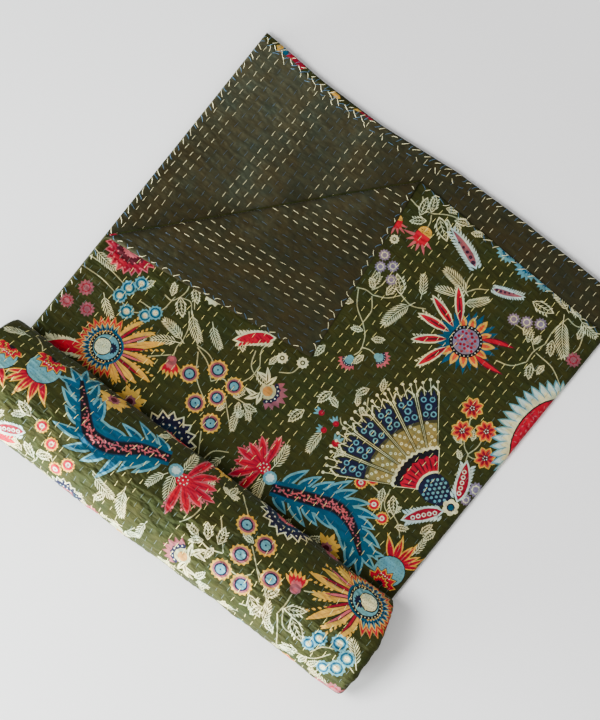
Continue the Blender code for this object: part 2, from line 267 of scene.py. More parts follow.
def cloth_material(name, dyes=None, pucker=4.4, greyer_near=None):
    """Fine plain-weave cotton, uneven between two dyes and greyer round a given place.

    Printed cotton has no dyes here: its colour is its mesh's ink.
    """
    made, add, surface = new_material(name)
    place = add("TexCoord")["Object"]

    def noise(scale, detail, at=place):
        return add("TexNoise", {"Vector": at, "Scale": scale, "Detail": detail})["Fac"]

    def stretched(value, times, plus):
        return add("Math", {0: value, 1: times, 2: plus}, operation="MULTIPLY_ADD")[0]

    def product(one, other):
        return add("Math", {0: one, 1: other}, operation="MULTIPLY")[0]

    def mixed(share, one, other):
        return add("Mix", {"Factor": share, "A": one, "B": other}, data_type="RGBA")["Result"]

    def threads(way, fineness):
        sockets = {"Vector": place, "Scale": 300.0, "Distortion": 1.2, "Detail Scale": fineness}
        return add("TexWave", sockets, bands_direction=way)["Fac"]

    cloudy, fibre, patches = noise(13.0, 5.0), noise(900.0, 2.0), noise(42.0, 3.0)
    drawn = add("Mapping", {"Vector": place, "Scale": (0.4, 1.25, 1.25)})["Vector"]
    wrinkle = noise(130.0, 3.0, drawn)
    share = cloudy
    if greyer_near:
        away = add("VectorMath", {0: place, 1: greyer_near}, operation="DISTANCE")["Value"]
        share = add("Math", {0: stretched(away, -3.4, cloudy), 1: 0.32}, operation="ADD")[0]
    if dyes:
        dyed = mixed(share, colour(dyes[0]), colour(dyes[1]))
    else:
        dyed = add("Attribute", attribute_name="ink")["Color"]
    spread = add("MapRange", {"Value": patches, "From Min": 0.34, "From Max": 0.66})["Result"]
    warmth = mixed(spread, (1.16, 1.0, 0.8, 1), (0.87, 1.0, 1.04, 1))
    tinted = add("VectorMath", {0: dyed, 1: warmth}, operation="MULTIPLY")[0]
    # Random mottling, and painted shade: the colour is darker where the wrinkle bump is low, in its hollows.
    # light carries this painted shade on into the tone.
    mottle_and_crease_shade = product(stretched(cloudy, 0.3, 0.85), stretched(wrinkle, 1.1, 0.42))
    light = product(stretched(fibre, 0.38, 0.48), mottle_and_crease_shade)
    tone = add("VectorMath", {0: tinted, "Scale": light}, operation="SCALE")[0]
    woven = add("Math", {0: threads("X", 2.0), 1: threads("Y", 1.0)}, operation="ADD")[0]
    soft = add("Bump", {"Strength": 0.8, "Distance": 0.001 * pucker, "Height": wrinkle})["Normal"]
    fine = add("Bump", {"Strength": 0.25, "Distance": 0.0002, "Height": woven, "Normal": soft})["Normal"]
    surface({"Base Color": tone, "Normal": fine, "Roughness": 0.88, "Specular IOR Level": 0.12})
    surface({"Sheen Weight": 0.05, "Sheen Roughness": 0.3})
    return made


quilt_cloth.data.materials.append(cloth_material("olive_cotton", ((42, 45, 20), (56, 55, 30))))
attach(quilt_cloth, "root")
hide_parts("kantha_quilt")

# ---------------------------------------------------------------- Print blocks
# The front sheet is screen printed on an olive ground with ordinary Indian floral figures: plumes,
# ray flowers, berries, leaf sprays. Each figure is a handful of flat shapes laid one on another, in
# millimetres, and is set on the cloth by its own short row further down.
INK = {
    "ground": (46, 49, 16), "blue": (12, 74, 104), "deep": (12, 42, 70), "sky": (92, 150, 164),
    "navy": (22, 24, 50), "night": (20, 18, 24), "red": (178, 5, 40), "crimson": (140, 8, 38),
    "rose": (186, 86, 96), "mauve": (142, 78, 88), "lilac": (126, 114, 140), "yellow": (212, 162, 62),
    "ochre": (182, 126, 62), "cream": (216, 214, 170), "leaf": (172, 170, 128), "vein": (64, 62, 36),
    "stone": (130, 118, 68), "coral": (208, 74, 42), "pale": (186, 210, 206), "wine": (78, 18, 32),
    "white": (216, 216, 202),
}
SEED_TURN = 2.4


class Block:
    """A print block set on a page at one place, size and angle, which draws in its own millimetres.

    The page is the list of the shapes laid so far. Whole rounds stay upright whatever the angle.
    """

    def __init__(self, page, x=0, y=0, size=1, angle=0):
        self.page, self.x, self.y, self.size, self.angle = page, x, y, size, angle

    def at(self, x=0, y=0, turn=0):
        """The same block moved and turned within its figure."""
        return Block(self.page, *self.place([(x, y)])[0], self.size, self.angle + turn)

    def place(self, points):
        px, py = np.asarray(points, float).T * self.size
        c, s = math.cos(math.radians(self.angle)), math.sin(math.radians(self.angle))
        return np.stack([self.x + px * c - py * s, self.y + px * s + py * c], 1)

    def lay(self, points, ink, upright=False):
        block = Block(self.page, self.x, self.y, self.size) if upright else self
        points = block.place(points)
        (x0, y0), (x1, y1) = points.T, np.roll(points, -1, axis=0).T
        self.page.append((points if np.sum(x0 * y1 - y0 * x1) > 0 else points[::-1], ink))

    def discs(self, *rounds):
        """Discs laid on one another: radius, ink and number of corners of each."""
        for r, ink, n in rounds:
            a = np.linspace(0, math.tau, n, endpoint=False)
            self.lay(np.stack([r * np.cos(a), r * np.sin(a)], 1), ink, upright=True)

    def star(self, r, notch, teeth, ink, first=0, span=360, squash=1):
        """Toothed disc, or a toothed part of one, which turns with the block."""
        n = 2 * teeth
        a = np.radians(first + np.arange(n + (span < 360)) * span / n)
        out = np.where(np.arange(len(a)) % 2 == 0, r * notch, r)
        upright = span == 360 and squash == 1
        self.lay(np.stack([out * np.cos(a), squash * out * np.sin(a)], 1), ink, upright)

    def lance(self, turn, long, wide, ink, bend=0, n=6, fullest=0.45):
        """Pointed petal or leaf; bend curls its tip to the left."""
        t = np.linspace(0, 1, n + 1)
        half = wide / 2 * np.sin(math.pi * t ** (math.log(0.5) / math.log(fullest))) ** 0.8
        sweep = bend * long * t**2
        up = np.stack([long * t, sweep + half], 1)
        down = np.stack([long * t, sweep - half], 1)[-2:0:-1]
        self.at(turn=turn).lay(np.concatenate([up, down]), ink)

    def fringe(self, feet, turn, long, wide, ink, n=3):
        """Small lances down both sides of a line: along, across, half the width there, lean."""
        for x, y, half, lean in feet:
            for side in (-1, 1):
                self.at(x, y + side * half).lance(side * turn + lean, long, wide, ink, n=n)

    def ring(self, r, count, dot, ink, n=5, first=None, step=None):
        """Dots in a ring, step apart; they turn with the block only if a first angle is given."""
        first = -self.angle if first is None else first
        for k in range(count):
            self.at(turn=first + k * (step or 360 / count)).at(r).discs((dot, ink, n))

    def seeds(self, r, count, dot, inks, n):
        """Dots packed as in a flower head, in inks by turns."""
        for k in range(count):
            way = self.at(turn=math.degrees(SEED_TURN * k) - self.angle)
            way.at(r * math.sqrt((k + 0.5) / count)).discs((dot, inks[k % len(inks)], n))

    def stem(self, points, wide=1.5, ink="leaf", n=None):
        line = smooth_line(points, n or 5 * (len(points) - 1) + 1)
        across, _ = line_sides(line)
        half = np.linspace(wide, wide * 0.75, len(line))[:, None] / 2
        self.lay(np.concatenate([line + across * half, (line - across * half)[::-1]]), ink)


def smooth_line(points, n):
    """Rounded line through a few points."""
    points = np.asarray(points, float)
    padded = np.concatenate([[2 * points[0] - points[1]], points, [2 * points[-1] - points[-2]]])
    count = len(points) - 1
    out = []
    for t in np.linspace(0, count, n):
        k = min(int(t), count - 1)
        f = t - k
        a, b, c, d = padded[k : k + 4]
        curve = 2 * b + (c - a) * f + (2 * a - 5 * b + 4 * c - d) * f**2 + (3 * b - a - 3 * c + d) * f**3
        out.append(curve / 2)
    return np.array(out)


def line_sides(line):
    way = np.gradient(line, axis=0)
    way /= np.linalg.norm(way, axis=1)[:, None]
    return np.stack([-way[:, 1], way[:, 0]], 1), way


def leaf(block, long):
    """Pointed leaf drawn in line: a toothed outline, a rib and side veins, the ground between."""
    for k in range(4):
        foot = [(long * (0.2 + 0.17 * k), 0, long * 0.12, 0)]
        block.fringe(foot, 36, long * (0.27 - 0.03 * k), long * 0.07, "cream")
    block.lance(0, long, long * 0.4, "cream", 0.08, n=8)
    block.at(long * 0.06).lance(0, long * 0.86, long * 0.4 - 1.9, "ground", 0.08, n=7)
    parts = [0.16 + 0.17 * k for k in range(4)]
    block.fringe([(long * p, long * 0.08 * p**2, 0, 0) for p in parts], 36, long * 0.2, 0.75, "cream", 2)
    block.lance(0, long * 0.96, 1.0, "cream", 0.08, n=3)


def feather(block, long):
    """Fern-like leaf: narrow leaflets down both sides of a thin rib, widest near its foot."""
    bend = 0.2
    pairs = max(5, round(long / 4))
    for k in range(pairs):
        part = 0.1 + 0.8 * k / (pairs - 1)
        foot = block.at(long * part, bend * long * part**2)
        leaflet = long * 0.3 * math.sin(math.pi * (0.24 + 0.66 * part)) + 1.5
        way = math.degrees(2 * bend * part)
        for side in (-1, 1):
            turn = way + side * (40 + 8 * (1 - part))
            foot.lance(turn, leaflet, 1.35, "cream", side * -0.16, 4, 0.6)
    block.at(long * 0.88, bend * long * 0.77).lance(20, long * 0.2, 2.0, "cream", n=4)
    block.stem([(long * p, bend * long * p**2) for p in (-0.12, 0.35, 0.7, 0.95)], 0.95, "cream")


def berry(block):
    """Gold toothed berry with dark rings and a pale eye."""
    block.star(12.5, 0.84, 14, "yellow")
    block.discs((9.25, "mauve", 14), (7.125, "navy", 12), (5.375, "sky", 10), (1.25, "deep", 5))


def blue_berry(block):
    block.star(10, 0.82, 11, "sky")
    block.discs((7, "blue", 12), (4.8, "sky", 10), (3.4, "cream", 9))
    block.ring(1.5, 3, 0.7, "coral", 4, step=math.degrees(2.1))


def red_berry(block):
    block.star(9, 0.84, 13, "yellow")
    block.discs((6.48, "red", 12), (3.24, "white", 9), (1.8, "rose", 6))


def thistle(block, ink, heart):
    """Thistle head seen from above."""
    block.star(13, 0.74, 12, ink)
    block.star(7.8, 0.8, 8, heart, first=12)
    block.discs((5.46, ink, 8))


def mauve_thistle(block):
    thistle(block, "mauve", "crimson")


def lilac_thistle(block):
    thistle(block, "lilac", "cream")


def eight_petal(block):
    for k in range(8):
        block.lance(45 * k + 10, 15, 9.3, "yellow", n=5, fullest=0.55)
    for k in range(8):
        block.lance(45 * k + 10, 13.2, 6.6, "coral", n=5, fullest=0.55)
        block.lance(45 * k + 10, 10.5, 3.9, "crimson", n=4, fullest=0.55)
    block.star(4.5, 0.8, 7, "wine")
    block.ring(2.4, 5, 0.9, "white", step=math.degrees(1.26))


def cup_flower(block, fringe, cup="sky"):
    """Small side-on flower: a domed cup, a dotted band and a fringe of petals."""
    for k in range(-3, 4):
        block.lance(18 * k, 19 * (1 - 0.04 * abs(k)), 6.5, fringe, 0.04 * k, n=4)
    block.star(11.5, 0.9, 6, "navy", -80, 160)
    block.ring(9.2, 6, 0.75, "white", first=-60, step=24)
    block.star(7.5, 0.95, 6, cup, -95, 190)
    block.at(-2).discs((5.4, cup, 9))


def rose_cup(block):
    cup_flower(block, "rose")


def coral_cup(block):
    cup_flower(block, "coral")


def mauve_flower(block):
    """Side-on flower: pale calyx, gold heart, dotted navy band and mauve petals."""
    cup_flower(block, "mauve", "leaf")
    block.discs((4.6, "ochre", 10))
    for way, long in ((-150, 12), (150, 12), (-105, 14), (105, 14), (-62, 13), (62, 13)):
        foot = block.at(-5, 0.05 * way, way)
        foot.lance(0, long, 4.6, "cream", 0.003 * way)
        foot.lance(0, long * 0.7, 1.3, "vein", 0.003 * way, n=4)


def tulip(block):
    """Closed side-on flower with red petals over gold ones."""
    for k in range(6):
        block.lance(12 * k - 30, 30 - 2 * abs(k - 2.5), 6, "yellow", 0.04 * (k - 2), n=4, fullest=0.7)
    for k in range(5):
        block.lance(12 * k - 24, 23, 6.5, "red", 0.04 * (k - 2), n=4, fullest=0.6)
    for k in range(3):
        block.lance(16 * k - 16, 16, 9, "rose", n=5, fullest=0.5)
    block.at(4).discs((7, "mauve", 9))
    block.at(2).discs((3.4, "rose", 7))


def plume(block, points, wide):
    """Long curled plume: hooked blue blades with pale edges on both sides of a dark beaded rib."""
    blades, long = 10, 33
    line = smooth_line(points, 80)
    across, way = line_sides(line)
    t = np.linspace(0, 1, 80)
    half = wide * np.sin(math.pi * (0.22 + 0.7 * t))
    heading = np.degrees(np.unwrap(np.arctan2(way[:, 1], way[:, 0])))
    for grow, ink, broad in ((1.0, "sky", 13.5), (0.85, "blue", 8.2)):
        for k in range(blades):
            for side in (-1, 1):
                at = int(3 + 72 * (k + 0.35 * (side > 0)) / blades)
                foot = block.at(*(line[at] + side * across[at] * half[at] * 0.4))
                blade = half[at] * 0.55 + long * (0.84 + 0.16 * math.sin(k * 2.3 + side))
                turn = heading[at] + side * (68 - 26 * t[at])
                foot.lance(turn, blade * grow, broad, ink, side * -0.3, n=8, fullest=0.34)
        for k, turn in enumerate((-44, -14, 16, 46)):
            tip = long * (1.25 - 0.08 * k) * grow
            curl = 0.12 * (k - 1.5)
            block.at(*line[-6]).lance(heading[-1] + turn, tip, broad * 0.85, ink, curl, fullest=0.4)
    for share, ink in ((0.96, "blue"), (0.56, "deep"), (0.47, "night")):
        body = half[:, None] * share
        block.lay(np.concatenate([line + across * body, (line - across * body)[::-1]]), ink)
    for k in range(2, 78, 2):
        sway = 0.22 * math.sin(k * 0.62) * half[k]
        foot = block.at(*(line[k] + across[k] * sway))
        if k < 60:
            foot.lance(heading[k] + 20 * math.cos(k * 0.62), 7, 1.8, "rose", n=3)
            foot.lance(heading[k] + 75 * (1 if k % 4 else -1), 0.32 * half[k], 2, "rose", 0.3, n=3)
        bead = block.at(*(line[k] - across[k] * sway * 1.1))
        bead.discs((0.9 + 0.04 * half[k], "rose" if k < 60 else "mauve", 6))


def flame_spray(block):
    """Hand of long toothed red petals with a dotted heart."""
    petals = ((-84, 50), (-52, 44), (-26, 40), (-4, 46), (20, 42), (46, 50), (76, 58))
    for edge, ink, grow in ((1.0, "rose", 1.0), (0.74, "red", 0.95), (0.16, "crimson", 0.8)):
        for turn, long in petals:
            if edge == 1:
                feet = [(long * (0.4 + 0.1 * j), 0, 4, 0) for j in range(5)]
                block.at(turn=turn).fringe(feet, 26, 5, 2.8, ink, 2)
            block.lance(turn, long * grow, 11.5 * edge, ink, 0.03, n=8, fullest=0.58)
    dot_turn = math.degrees(0.785)
    block.discs((9.5, "red", 12), (1.1, "white", 6))
    block.ring(5.8, 8, 1.1, "white", 6, dot_turn - block.angle, dot_turn)


def ray_flower(block):
    """Big round flower: toothed red and blue rings, a dotted heart and a sheaf of long gold rays."""
    rays = ((-60, 60), (-41, 74), (-22, 88), (-4, 80), (14, 92), (33, 80), (52, 70))
    for k, (turn, long) in enumerate(rays):
        sway = 0.07 * math.sin(2 * k)
        feet = [(long * (0.55 + 0.09 * j), 0, 3.5, 0) for j in range(5)]
        block.at(turn=turn).fringe(feet, 30, 6.5, 3.4, "yellow")
        block.lance(turn, long, 11.5, "yellow", sway, n=8, fullest=0.64)
        block.lance(turn, long * 0.86, 1.8, "ochre", sway, n=4)
    for k in range(6):
        for wide, ink in ((6, "night"), (3.72, "crimson" if k % 2 else "rose")):
            block.lance(18.6 * k - 50, 66 + 5 * math.sin(2 * k), wide, ink, 0.08, fullest=0.62)
    for r, notch, ink in (
        (50, 0.8, "ochre"), (48, 0.74, "red"), (40, 0.84, "yellow"), (38.5, 0.76, "blue"), (33, 0.85, "deep"),
    ):
        block.star(r, notch, 17, ink, 66, 228)
    for k in range(16):
        block.at(turn=73 + 14.2 * k).at(27).lance(0, 10, 1.8, "sky", n=3)
    block.discs((28, "blue", 22))
    block.star(27, 0.9, 20, "yellow", 80, 200)
    block.discs((24.5, "night", 22))
    block.ring(22.4, 26, 1.0, "cream")
    block.discs((20, "sky", 18))
    block.at(-5).discs((14.6, "night", 16), (12.8, "cream", 16))
    block.at(-5).seeds(11.6, 30, 0.7, ("navy", "vein"), 4)
    for k in range(-3, 4):
        block.at(9.5).lance(30 * k, 9.5, 4.6, "navy", n=4)
    block.at(9.5).discs((3, "navy", 8), (1.3, "sky", 6))


def tufted_fruit(block):
    """Dotted ball with a tuft of red and gold flames at one end and a toothed collar at the other."""
    for edge, ink in ((1.0, "yellow"), (0.6, "red"), (0.25, "crimson")):
        for k in range(13):
            foot = block.at(13, 1.3 * (k - 6))
            long = (31 + 8 * math.sin(2.1 * k)) * (0.62 + 0.38 * edge)
            foot.lance(9 * (k - 6), long, 6.6 * edge, ink, 0.22 * math.sin(2 * k), n=5)
    block.discs((21, "night", 20), (20, "sky", 20))
    for r in (4.5, 8.5, 12.5, 16.5):
        block.ring(r, int(r * 1.5), 0.55, "blue", 4)
    for r, ink in zip((24, 22.5, 20.5, 14, 12.5, 10.5, 6), 3 * ("night", "yellow", "red")):
        block.at(-21).star(r, 0.74, 6, ink, -84, 168)
    for k in range(-2, 3):
        block.at(-8, 3.2 * k).discs((0.9, "white", 5))


def fan_flower(block):
    """Open fan of dark panels with pale edges on a ribbed red heart, with a dotted cup at its foot."""
    panels, spread = 6, 84

    def band(turn, wide, r0, r1, ink, lip=0.0, n=7):
        """Part of a ring; lip gives its outer edge teeth."""
        a = np.radians(np.linspace(turn - wide / 2, turn + wide / 2, n))
        way = np.stack([np.cos(a), np.sin(a)], 1)
        far = (r1 + np.where(np.arange(n) % 2 == 1, lip, 0))[:, None] * way
        block.lay(np.concatenate([r0 * way, far[::-1]]), ink)

    wide = spread / panels
    for k in range(panels):
        turn = spread * ((k + 0.5) / panels - 0.5)
        band(turn, wide - 0.7, 44, 128, "cream", 9, 5)
        band(turn, wide - 1.7, 44, 126.6, "ground", 8, 5)
        band(turn, wide - 3.4, 46, 92, "stone")
        band(turn, wide - 3.4, 88, 96, "vein")
        band(turn, wide - 3.4, 92, 122, "navy", 9)
        for j in range(9):
            lane = block.at(turn=turn + (j % 3 - 1) * wide * 0.2)
            lane.at(52 + 4.6 * j).discs((2.0, "cream", 6), (0.9, "vein", 4))
        for r, sway, eye in (
            (99, -0.2, 4), (100, 0.2, 3.6), (109, 0.02, 4.6), (118, -0.18, 3.8), (119, 0.2, 3.8),
        ):
            block.at(turn=turn + sway * wide).at(r).discs((eye, "sky", 8), (eye * 0.58, "navy", 8))
        for j in range(4):
            lane = block.at(turn=turn + (j - 1.5) * wide * 0.27)
            tip = 141 + 3 * (j % 2)
            lane.stem([(124, 0), (tip, 0)], 1.0, "cream", 2)
            lane.at(tip).discs((2.1, "cream", 7))
    band(0, spread + 4, 16, 56, "cream", 3, 23)
    band(0, spread + 2, 16, 53, "night", 2, 23)
    band(0, spread + 2, 16, 44, "red", 3, 15)
    for k in range(9):
        block.at(turn=spread * ((k + 0.5) / 9 - 0.5)).at(27).lance(0, 19, 2.2, "wine", n=3)
    band(0, spread + 6, 6, 26.5, "cream")
    rim = [(23.5 * math.cos(math.radians(a)), 23.5 * math.sin(math.radians(a))) for a in range(-48, 49, 12)]
    block.lay(rim + [(0, 19), (-16, 11), (-21, 0), (-16, -11), (0, -19)], "navy")
    for i in range(-2, 4):
        for j in range(-3, 4):
            x, y = 6.4 * i - 2 + 3.2 * (j % 2), 5.2 * j
            if math.hypot(x, y) < 20 and abs(y) < 17 - max(0, -x) * 0.6:
                block.at(x, y).discs((2, "sky", 7))
    block.at(-27).ring(6.5, 6, 4.6, "cream", 8)
    block.at(-27).discs((5.4, "navy", 9), (3.6, "blue", 8))
    for side in (-1, 1):
        bean(block.at(-24, 13 * side, side * 58))


def bean(block, edge="pale", heart="crimson", rings=5):
    """Curved pod with a fringed edge and a row of rings."""
    block.fringe([(4.6 * k, 0.05 * (k - 4) ** 2, 4, 0) for k in range(10)], 44, 9.5, 3.6, edge)
    block.at(-4, -1).lance(0, 56, 19, edge, 0.08, n=9)
    block.at(-1, -1).lance(0, 49, 14, heart, 0.08, n=9)
    for k in range(rings):
        block.at(8 + 7 * k, 0.2 + 0.13 * k * k).discs((3, "white", 8), (1.7, heart, 6))


def red_feather(block):
    """Pod of red flames on a pale fringe."""
    bean(block, "cream", "red", 0)
    for k in range(8):
        for side in (-50, 50):
            foot = block.at(4 + 5 * k, 1 + 0.1 * k * k, side)
            foot.lance(0, 7.5, 3.8, "red", n=3)
            foot.lance(0, 5, 0.9, "crimson", n=2)


def slim_paisley(block):
    """Slim curved pod: pale blue fringe, mauve body and a string of dark beads."""
    for p in np.linspace(0, 1, 14):
        half = 5.5 * math.sin(math.pi * (0.2 + 0.7 * p))
        block.fringe([(58 * p, 9 * p**2, half, 16 * p)], 48, 8, 3.2, "pale")
    block.lance(0, 66, 16.5, "pale", 0.15, n=9, fullest=0.35)
    block.at(3).lance(0, 58, 10, "mauve", 0.15, n=9, fullest=0.35)
    for k in range(5):
        bead = block.at(10 + 8 * k, 0.5 + 0.42 * k * k)
        bead.discs((3 - 0.35 * k, "navy", 8), (1.4 - 0.15 * k, "wine", 5))


def half_scallop(block, inks=("cream", "navy", "deep"), dot="white", teeth=9):
    """Side-on bloom of toothed half rings."""
    for r, ink, notch in zip((44, 41, 27, 17, 9), (*inks, "rose", "night"), (0.82, 0.8, 0.9, 0.86, 0.9)):
        block.star(r, notch, teeth, ink, -90, 180)
    for r, n in ((33, 13), (24, 9)):
        block.ring(r, n, 1.5, dot, 6, first=-80, step=160 / (n - 1))


def red_scallop(block):
    half_scallop(block, ("rose", "crimson", "wine"), "rose", 11)


def heart_flower(block):
    """Round dotted heart in a blue halo, gold flames round it and a hand of red petals to one side."""
    for k in range(26):
        block.lance(13.85 * k, 41 + 3 * math.sin(4.1 * k), 7.5, "blue", n=4, fullest=0.6)
    block.discs((31, "blue", 21))
    for k in range(10):
        for edge, ink in ((1.0, "yellow"), (0.5, "coral")):
            long = (20 + 3 * math.sin(3 * k)) * (0.55 + 0.45 * edge)
            block.at(turn=52 + 28 * k).at(16).lance(0, long, 10 * edge, ink, 0.08, n=5)
    for turn, bend in ((-30, 0.2), (34, -0.2)):
        for long, wide, ink in ((44, 9, "wine"), (40.656, 5.58, "red")):
            block.at(turn=180 + turn).at(20).lance(-0.3 * turn, long, wide, ink, bend, n=7)
    block.discs((21.5, "night", 20))
    block.ring(19.3, 24, 0.85, "white")
    block.discs((17, "lilac", 16))
    block.seeds(15, 28, 2.1, ("rose", "crimson", "crimson"), 6)
    for turn, long in ((-62, 52), (-32, 50), (-6, 47), (26, 46), (58, 48)):
        petal = block.at(turn=turn * 0.75).at(25, turn=turn * 0.25)
        petal.fringe([(long * (0.25 + 0.1 * j), 0, 3.2, 0) for j in range(7)], 32, 5.5, 2.6, "cream", 2)
        for wide, ink, grow in ((12.5, "cream", 1.0), (8.25, "red", 0.93), (2.5, "wine", 0.7)):
            petal.lance(0, long * grow, wide, ink, 0.03, n=8, fullest=0.5)


def bud(block):
    """Dotted gold dome with a red cup and loose rosy petals."""
    for k, long in enumerate((32, 27, 31, 28, 32, 26)):
        block.lance(22 * k - 56, long, 5.5, "rose", 0.1 * (k - 2.5), n=5)
    for k in range(-2, 3):
        block.lance(22 * k, 17, 9, "red", n=4, fullest=0.5)
    block.discs((12.5, "red", 14))
    block.at(-4).star(12, 0.96, 9, "yellow", 84, 192)
    for k in range(13):
        r, turn = 9.5 * math.sqrt((k + 0.5) / 13), SEED_TURN * k
        block.at(-4 - abs(r * math.cos(turn)) * 0.95, r * math.sin(turn)).discs((0.8, "night", 5))


def serrated_half(block):
    """Large half-bloom: pale toothed leaves round a red heart."""
    for turn in range(-90, 91, 10):
        x, y = 38 * math.cos(math.radians(turn)), 60 * math.sin(math.radians(turn))
        for long, wide, ink in ((33, 15, "sky"), (29, 11.5, "pale"), (17, 10, "cream")):
            block.at(x, y).lance(turn * 0.75 + 24, long, wide, ink, -0.16, n=5, fullest=0.35)
    a = np.radians(np.linspace(-92, 92, 19))
    for wide, tall, ink in ((44, 68, "cream"), (41, 64, "night"), (39, 62, "red")):
        block.lay(np.stack([wide * np.cos(a), tall * np.sin(a)], 1), ink)
    for k in range(130):
        r, turn = math.sqrt((k + 0.5) / 130), SEED_TURN * k
        if 36 * r * math.cos(turn) > 1:
            x, y = 36 * r * math.cos(turn), 58 * r * math.sin(turn)
            block.at(x, y).lance(80 + 60 * math.sin(k), 5.4, 1.9, "rose", n=3)


def button(block):
    """Little toothed round bloom."""
    block.star(8, 0.8, 10, "cream")
    block.discs((3.4, "vein", 8), (1.6, "cream", 6))


def gold_burst(block):
    """Ragged gold flower with a dark mauve heart."""
    for k in range(11):
        block.lance(24 * (k - 5), 22 - 5 * (k % 2), 8, "yellow", 0.1, n=5)
    block.star(9, 0.75, 8, "mauve")
    block.discs((4.5, "wine", 8))


def sky_fringe(block):
    for ink, grow in (("sky", 1.0), ("blue", 0.62), ("pale", 0.4)):
        for k in range(-4, 5):
            block.lance(20 * k, 19 * grow, 7 * grow, ink, n=4)


def red_bud(block):
    for k in range(-1, 2):
        block.lance(30 * k, 12, 3.6, "sky", n=4)
    block.discs((4.6, "crimson", 8), (2.0, "red", 6))


def print_rows(page, stems, leaves, feathers, figures, place=lambda x, y: (x, y)):
    """Prints a page from its tables; place takes a row's X and Y to where they lie on the page."""
    for x0, y0, x1, y1, bend in stems:
        (x0, y0), (x1, y1) = place(x0, y0), place(x1, y1)
        middle = ((x0 + x1) / 2 - (y1 - y0) * bend, (y0 + y1) / 2 + (x1 - x0) * bend)
        Block(page).stem([(x0, y0), middle, (x1, y1)])
    for x, y, angle, long in leaves:
        leaf(Block(page, *place(x, y), 1, angle), long)
    for x, y, angle, long in feathers:
        feather(Block(page, *place(x, y), 1, angle), 0.88 * long)
    for draw, *spots in figures:
        for x, y, *size_and_angle in spots:
            draw(Block(page, *place(x, y), *size_and_angle))


def plumed_spray(page, core, wide, spray, bead):
    """A plume that grows out of a hand of flames, with a pale bead between them."""
    plume(Block(page), core, wide)
    flame_spray(Block(page, *spray))
    Block(page, *bead).discs((9, "sky", 12))
    Block(page, *bead).star(6, 0.8, 8, "pale")


# ---------------------------------------------------------------- Top layer of print
# The uppermost layer lies face up. Its rows of running stitch draw the two cottons together, so the
# cloth stands up in soft ribs between the rows and puckers along them. At the right it turns under.
# From here on places on the cloth are in millimetres, like the print.

# Rows are ROW apart, and stitches BEAT apart along them. EDGE is the left hem. The cloth turns under
# from AXIS on, for OUTER_RUN more; at a hem it rounds over with radius HEM_R and goes PAST_HEM past it.
ROW = 10.77
BEAT = 14.6
EDGE = 1000 * HEM_LEFT[8]
AXIS = 1000 * RIGHT
OUTER_R = 500 * (SHEET + 7 * PITCH)
OUTER_RUN = 19.8
PAST_HEM = 1.4
HEM_R = 0.9

# The slanting crease where the top left corner is turned back: its two ends and its direction.
LOW = np.array([-281.2, -27.4])
HIGH = np.array([-13.8, 275.7])
ALONG = (HIGH - LOW) / np.linalg.norm(HIGH - LOW)
OUT = np.array([-ALONG[1], ALONG[0]])
CREASE_R = 3.4


def hem_mm(layer, x):
    return 1000 * hem_y(layer, x / 1000)


def hem_spot(layer, x, inset):
    return x, hem_mm(layer, x) - inset


def hem_edge(layer, first, last, n):
    """Points just past a layer's top hem, for the edge of the cloth that is cut for it."""
    return [hem_spot(layer, x, -PAST_HEM) for x in np.linspace(first, last, n)]


def strip_mm(x, height, y):
    return strip_point(x / 1000, height / 1000, y / 1000)


def past_crease(x, y):
    return (x - LOW[0]) * OUT[0] + (y - LOW[1]) * OUT[1] + CREASE_R


def row_phase(row, seed):
    """A steady share of a beat, 0 to 1, that differs from row to row."""
    return (np.sin(row * 12.9898 + seed * 78.233) * 43758.5453) % 1.0


def crumple(x, y, seed):
    """Slow unevenness of cloth that has been washed and handled, about -1 to 1."""
    waves = ((61, 0.3, 0.4), (37, 2.1, 0.3), (23, 1.1, 0.22), (14, 2.7, 0.16))
    total = 0
    for k, (long, way, share) in enumerate(waves):
        turn = math.tau / long * (x * math.cos(way) + y * math.sin(way)) + seed * (k + 1.7)
        total = total + share * np.sin(turn + 1.3 * np.sin(math.tau * (x - y) / 97 + k + seed))
    return total


def quilting(x, y, seed, edge=EDGE):
    """How far the cloth stands up from its stitch rows: ribs, gaps between stitches, and creases.

    What x and y are divided by sets the lengths of its waves.
    """
    row = (x - edge) / ROW
    line, between = np.round(row), np.floor(row)
    near = np.abs(row - line) * 2
    beat = y / BEAT + row_phase(line, seed)
    rib = near**0.75 * (0.7 + 0.2 * np.cos(math.tau * (y / 23 + row_phase(between, seed + 4))))
    gap = (1 - near) ** 1.5 * 0.5 * (0.5 - 0.5 * np.cos(math.tau * beat))
    wander = 0.5 * np.sin(x / 23 + seed) + 0.3 * np.sin(x / 9 - y / 31) + 0.5 * np.sin((x + y) / 57)
    patch = 0.5 + 0.5 * np.sin(x / 37 + 1.9 * np.sin(y / 41 + seed)) * np.sin(y / 29 - x / 71 + seed)
    crease = 0.55 * patch * (0.35 + 0.65 * near) * np.cos(math.tau * (y / 8.6 + wander))
    return rib + gap + crease + 0.45 * crumple(x, y, seed)


def hem_round(past):
    """Reach and drop of cloth that runs past the start of a hem and turns down over it."""
    turn = np.clip(past / HEM_R, 0, math.pi / 2)
    return HEM_R * np.sin(turn), HEM_R * (1 - np.cos(turn)) + np.maximum(past - HEM_R * math.pi / 2, 0)


def hem_turn(x, y, layer):
    """Rounds a layer's left and top hems over: new x and y, and how far the cloth has turned down."""
    left, top = 1000 * HEM_LEFT[layer] + HEM_R, hem_mm(layer, x) - HEM_R
    (side, side_drop), (end, end_drop) = hem_round(left - x), hem_round(y - top)
    return np.where(x < left, left - side, x), np.where(y > top, top + end, y), side_drop + end_drop


def ripple(x, y):
    """Low waves of the whole top layer, which die out at the right fold and near the roll."""
    wave = 0.5 + 0.5 * np.sin(math.tau * (x / 270 + y / 360) + 0.6)
    return 0.8 * wave * np.clip((AXIS - x) / 30, 0, 1) * np.clip((y - 1000 * ROLL_FROM) / 30, 0, 1)


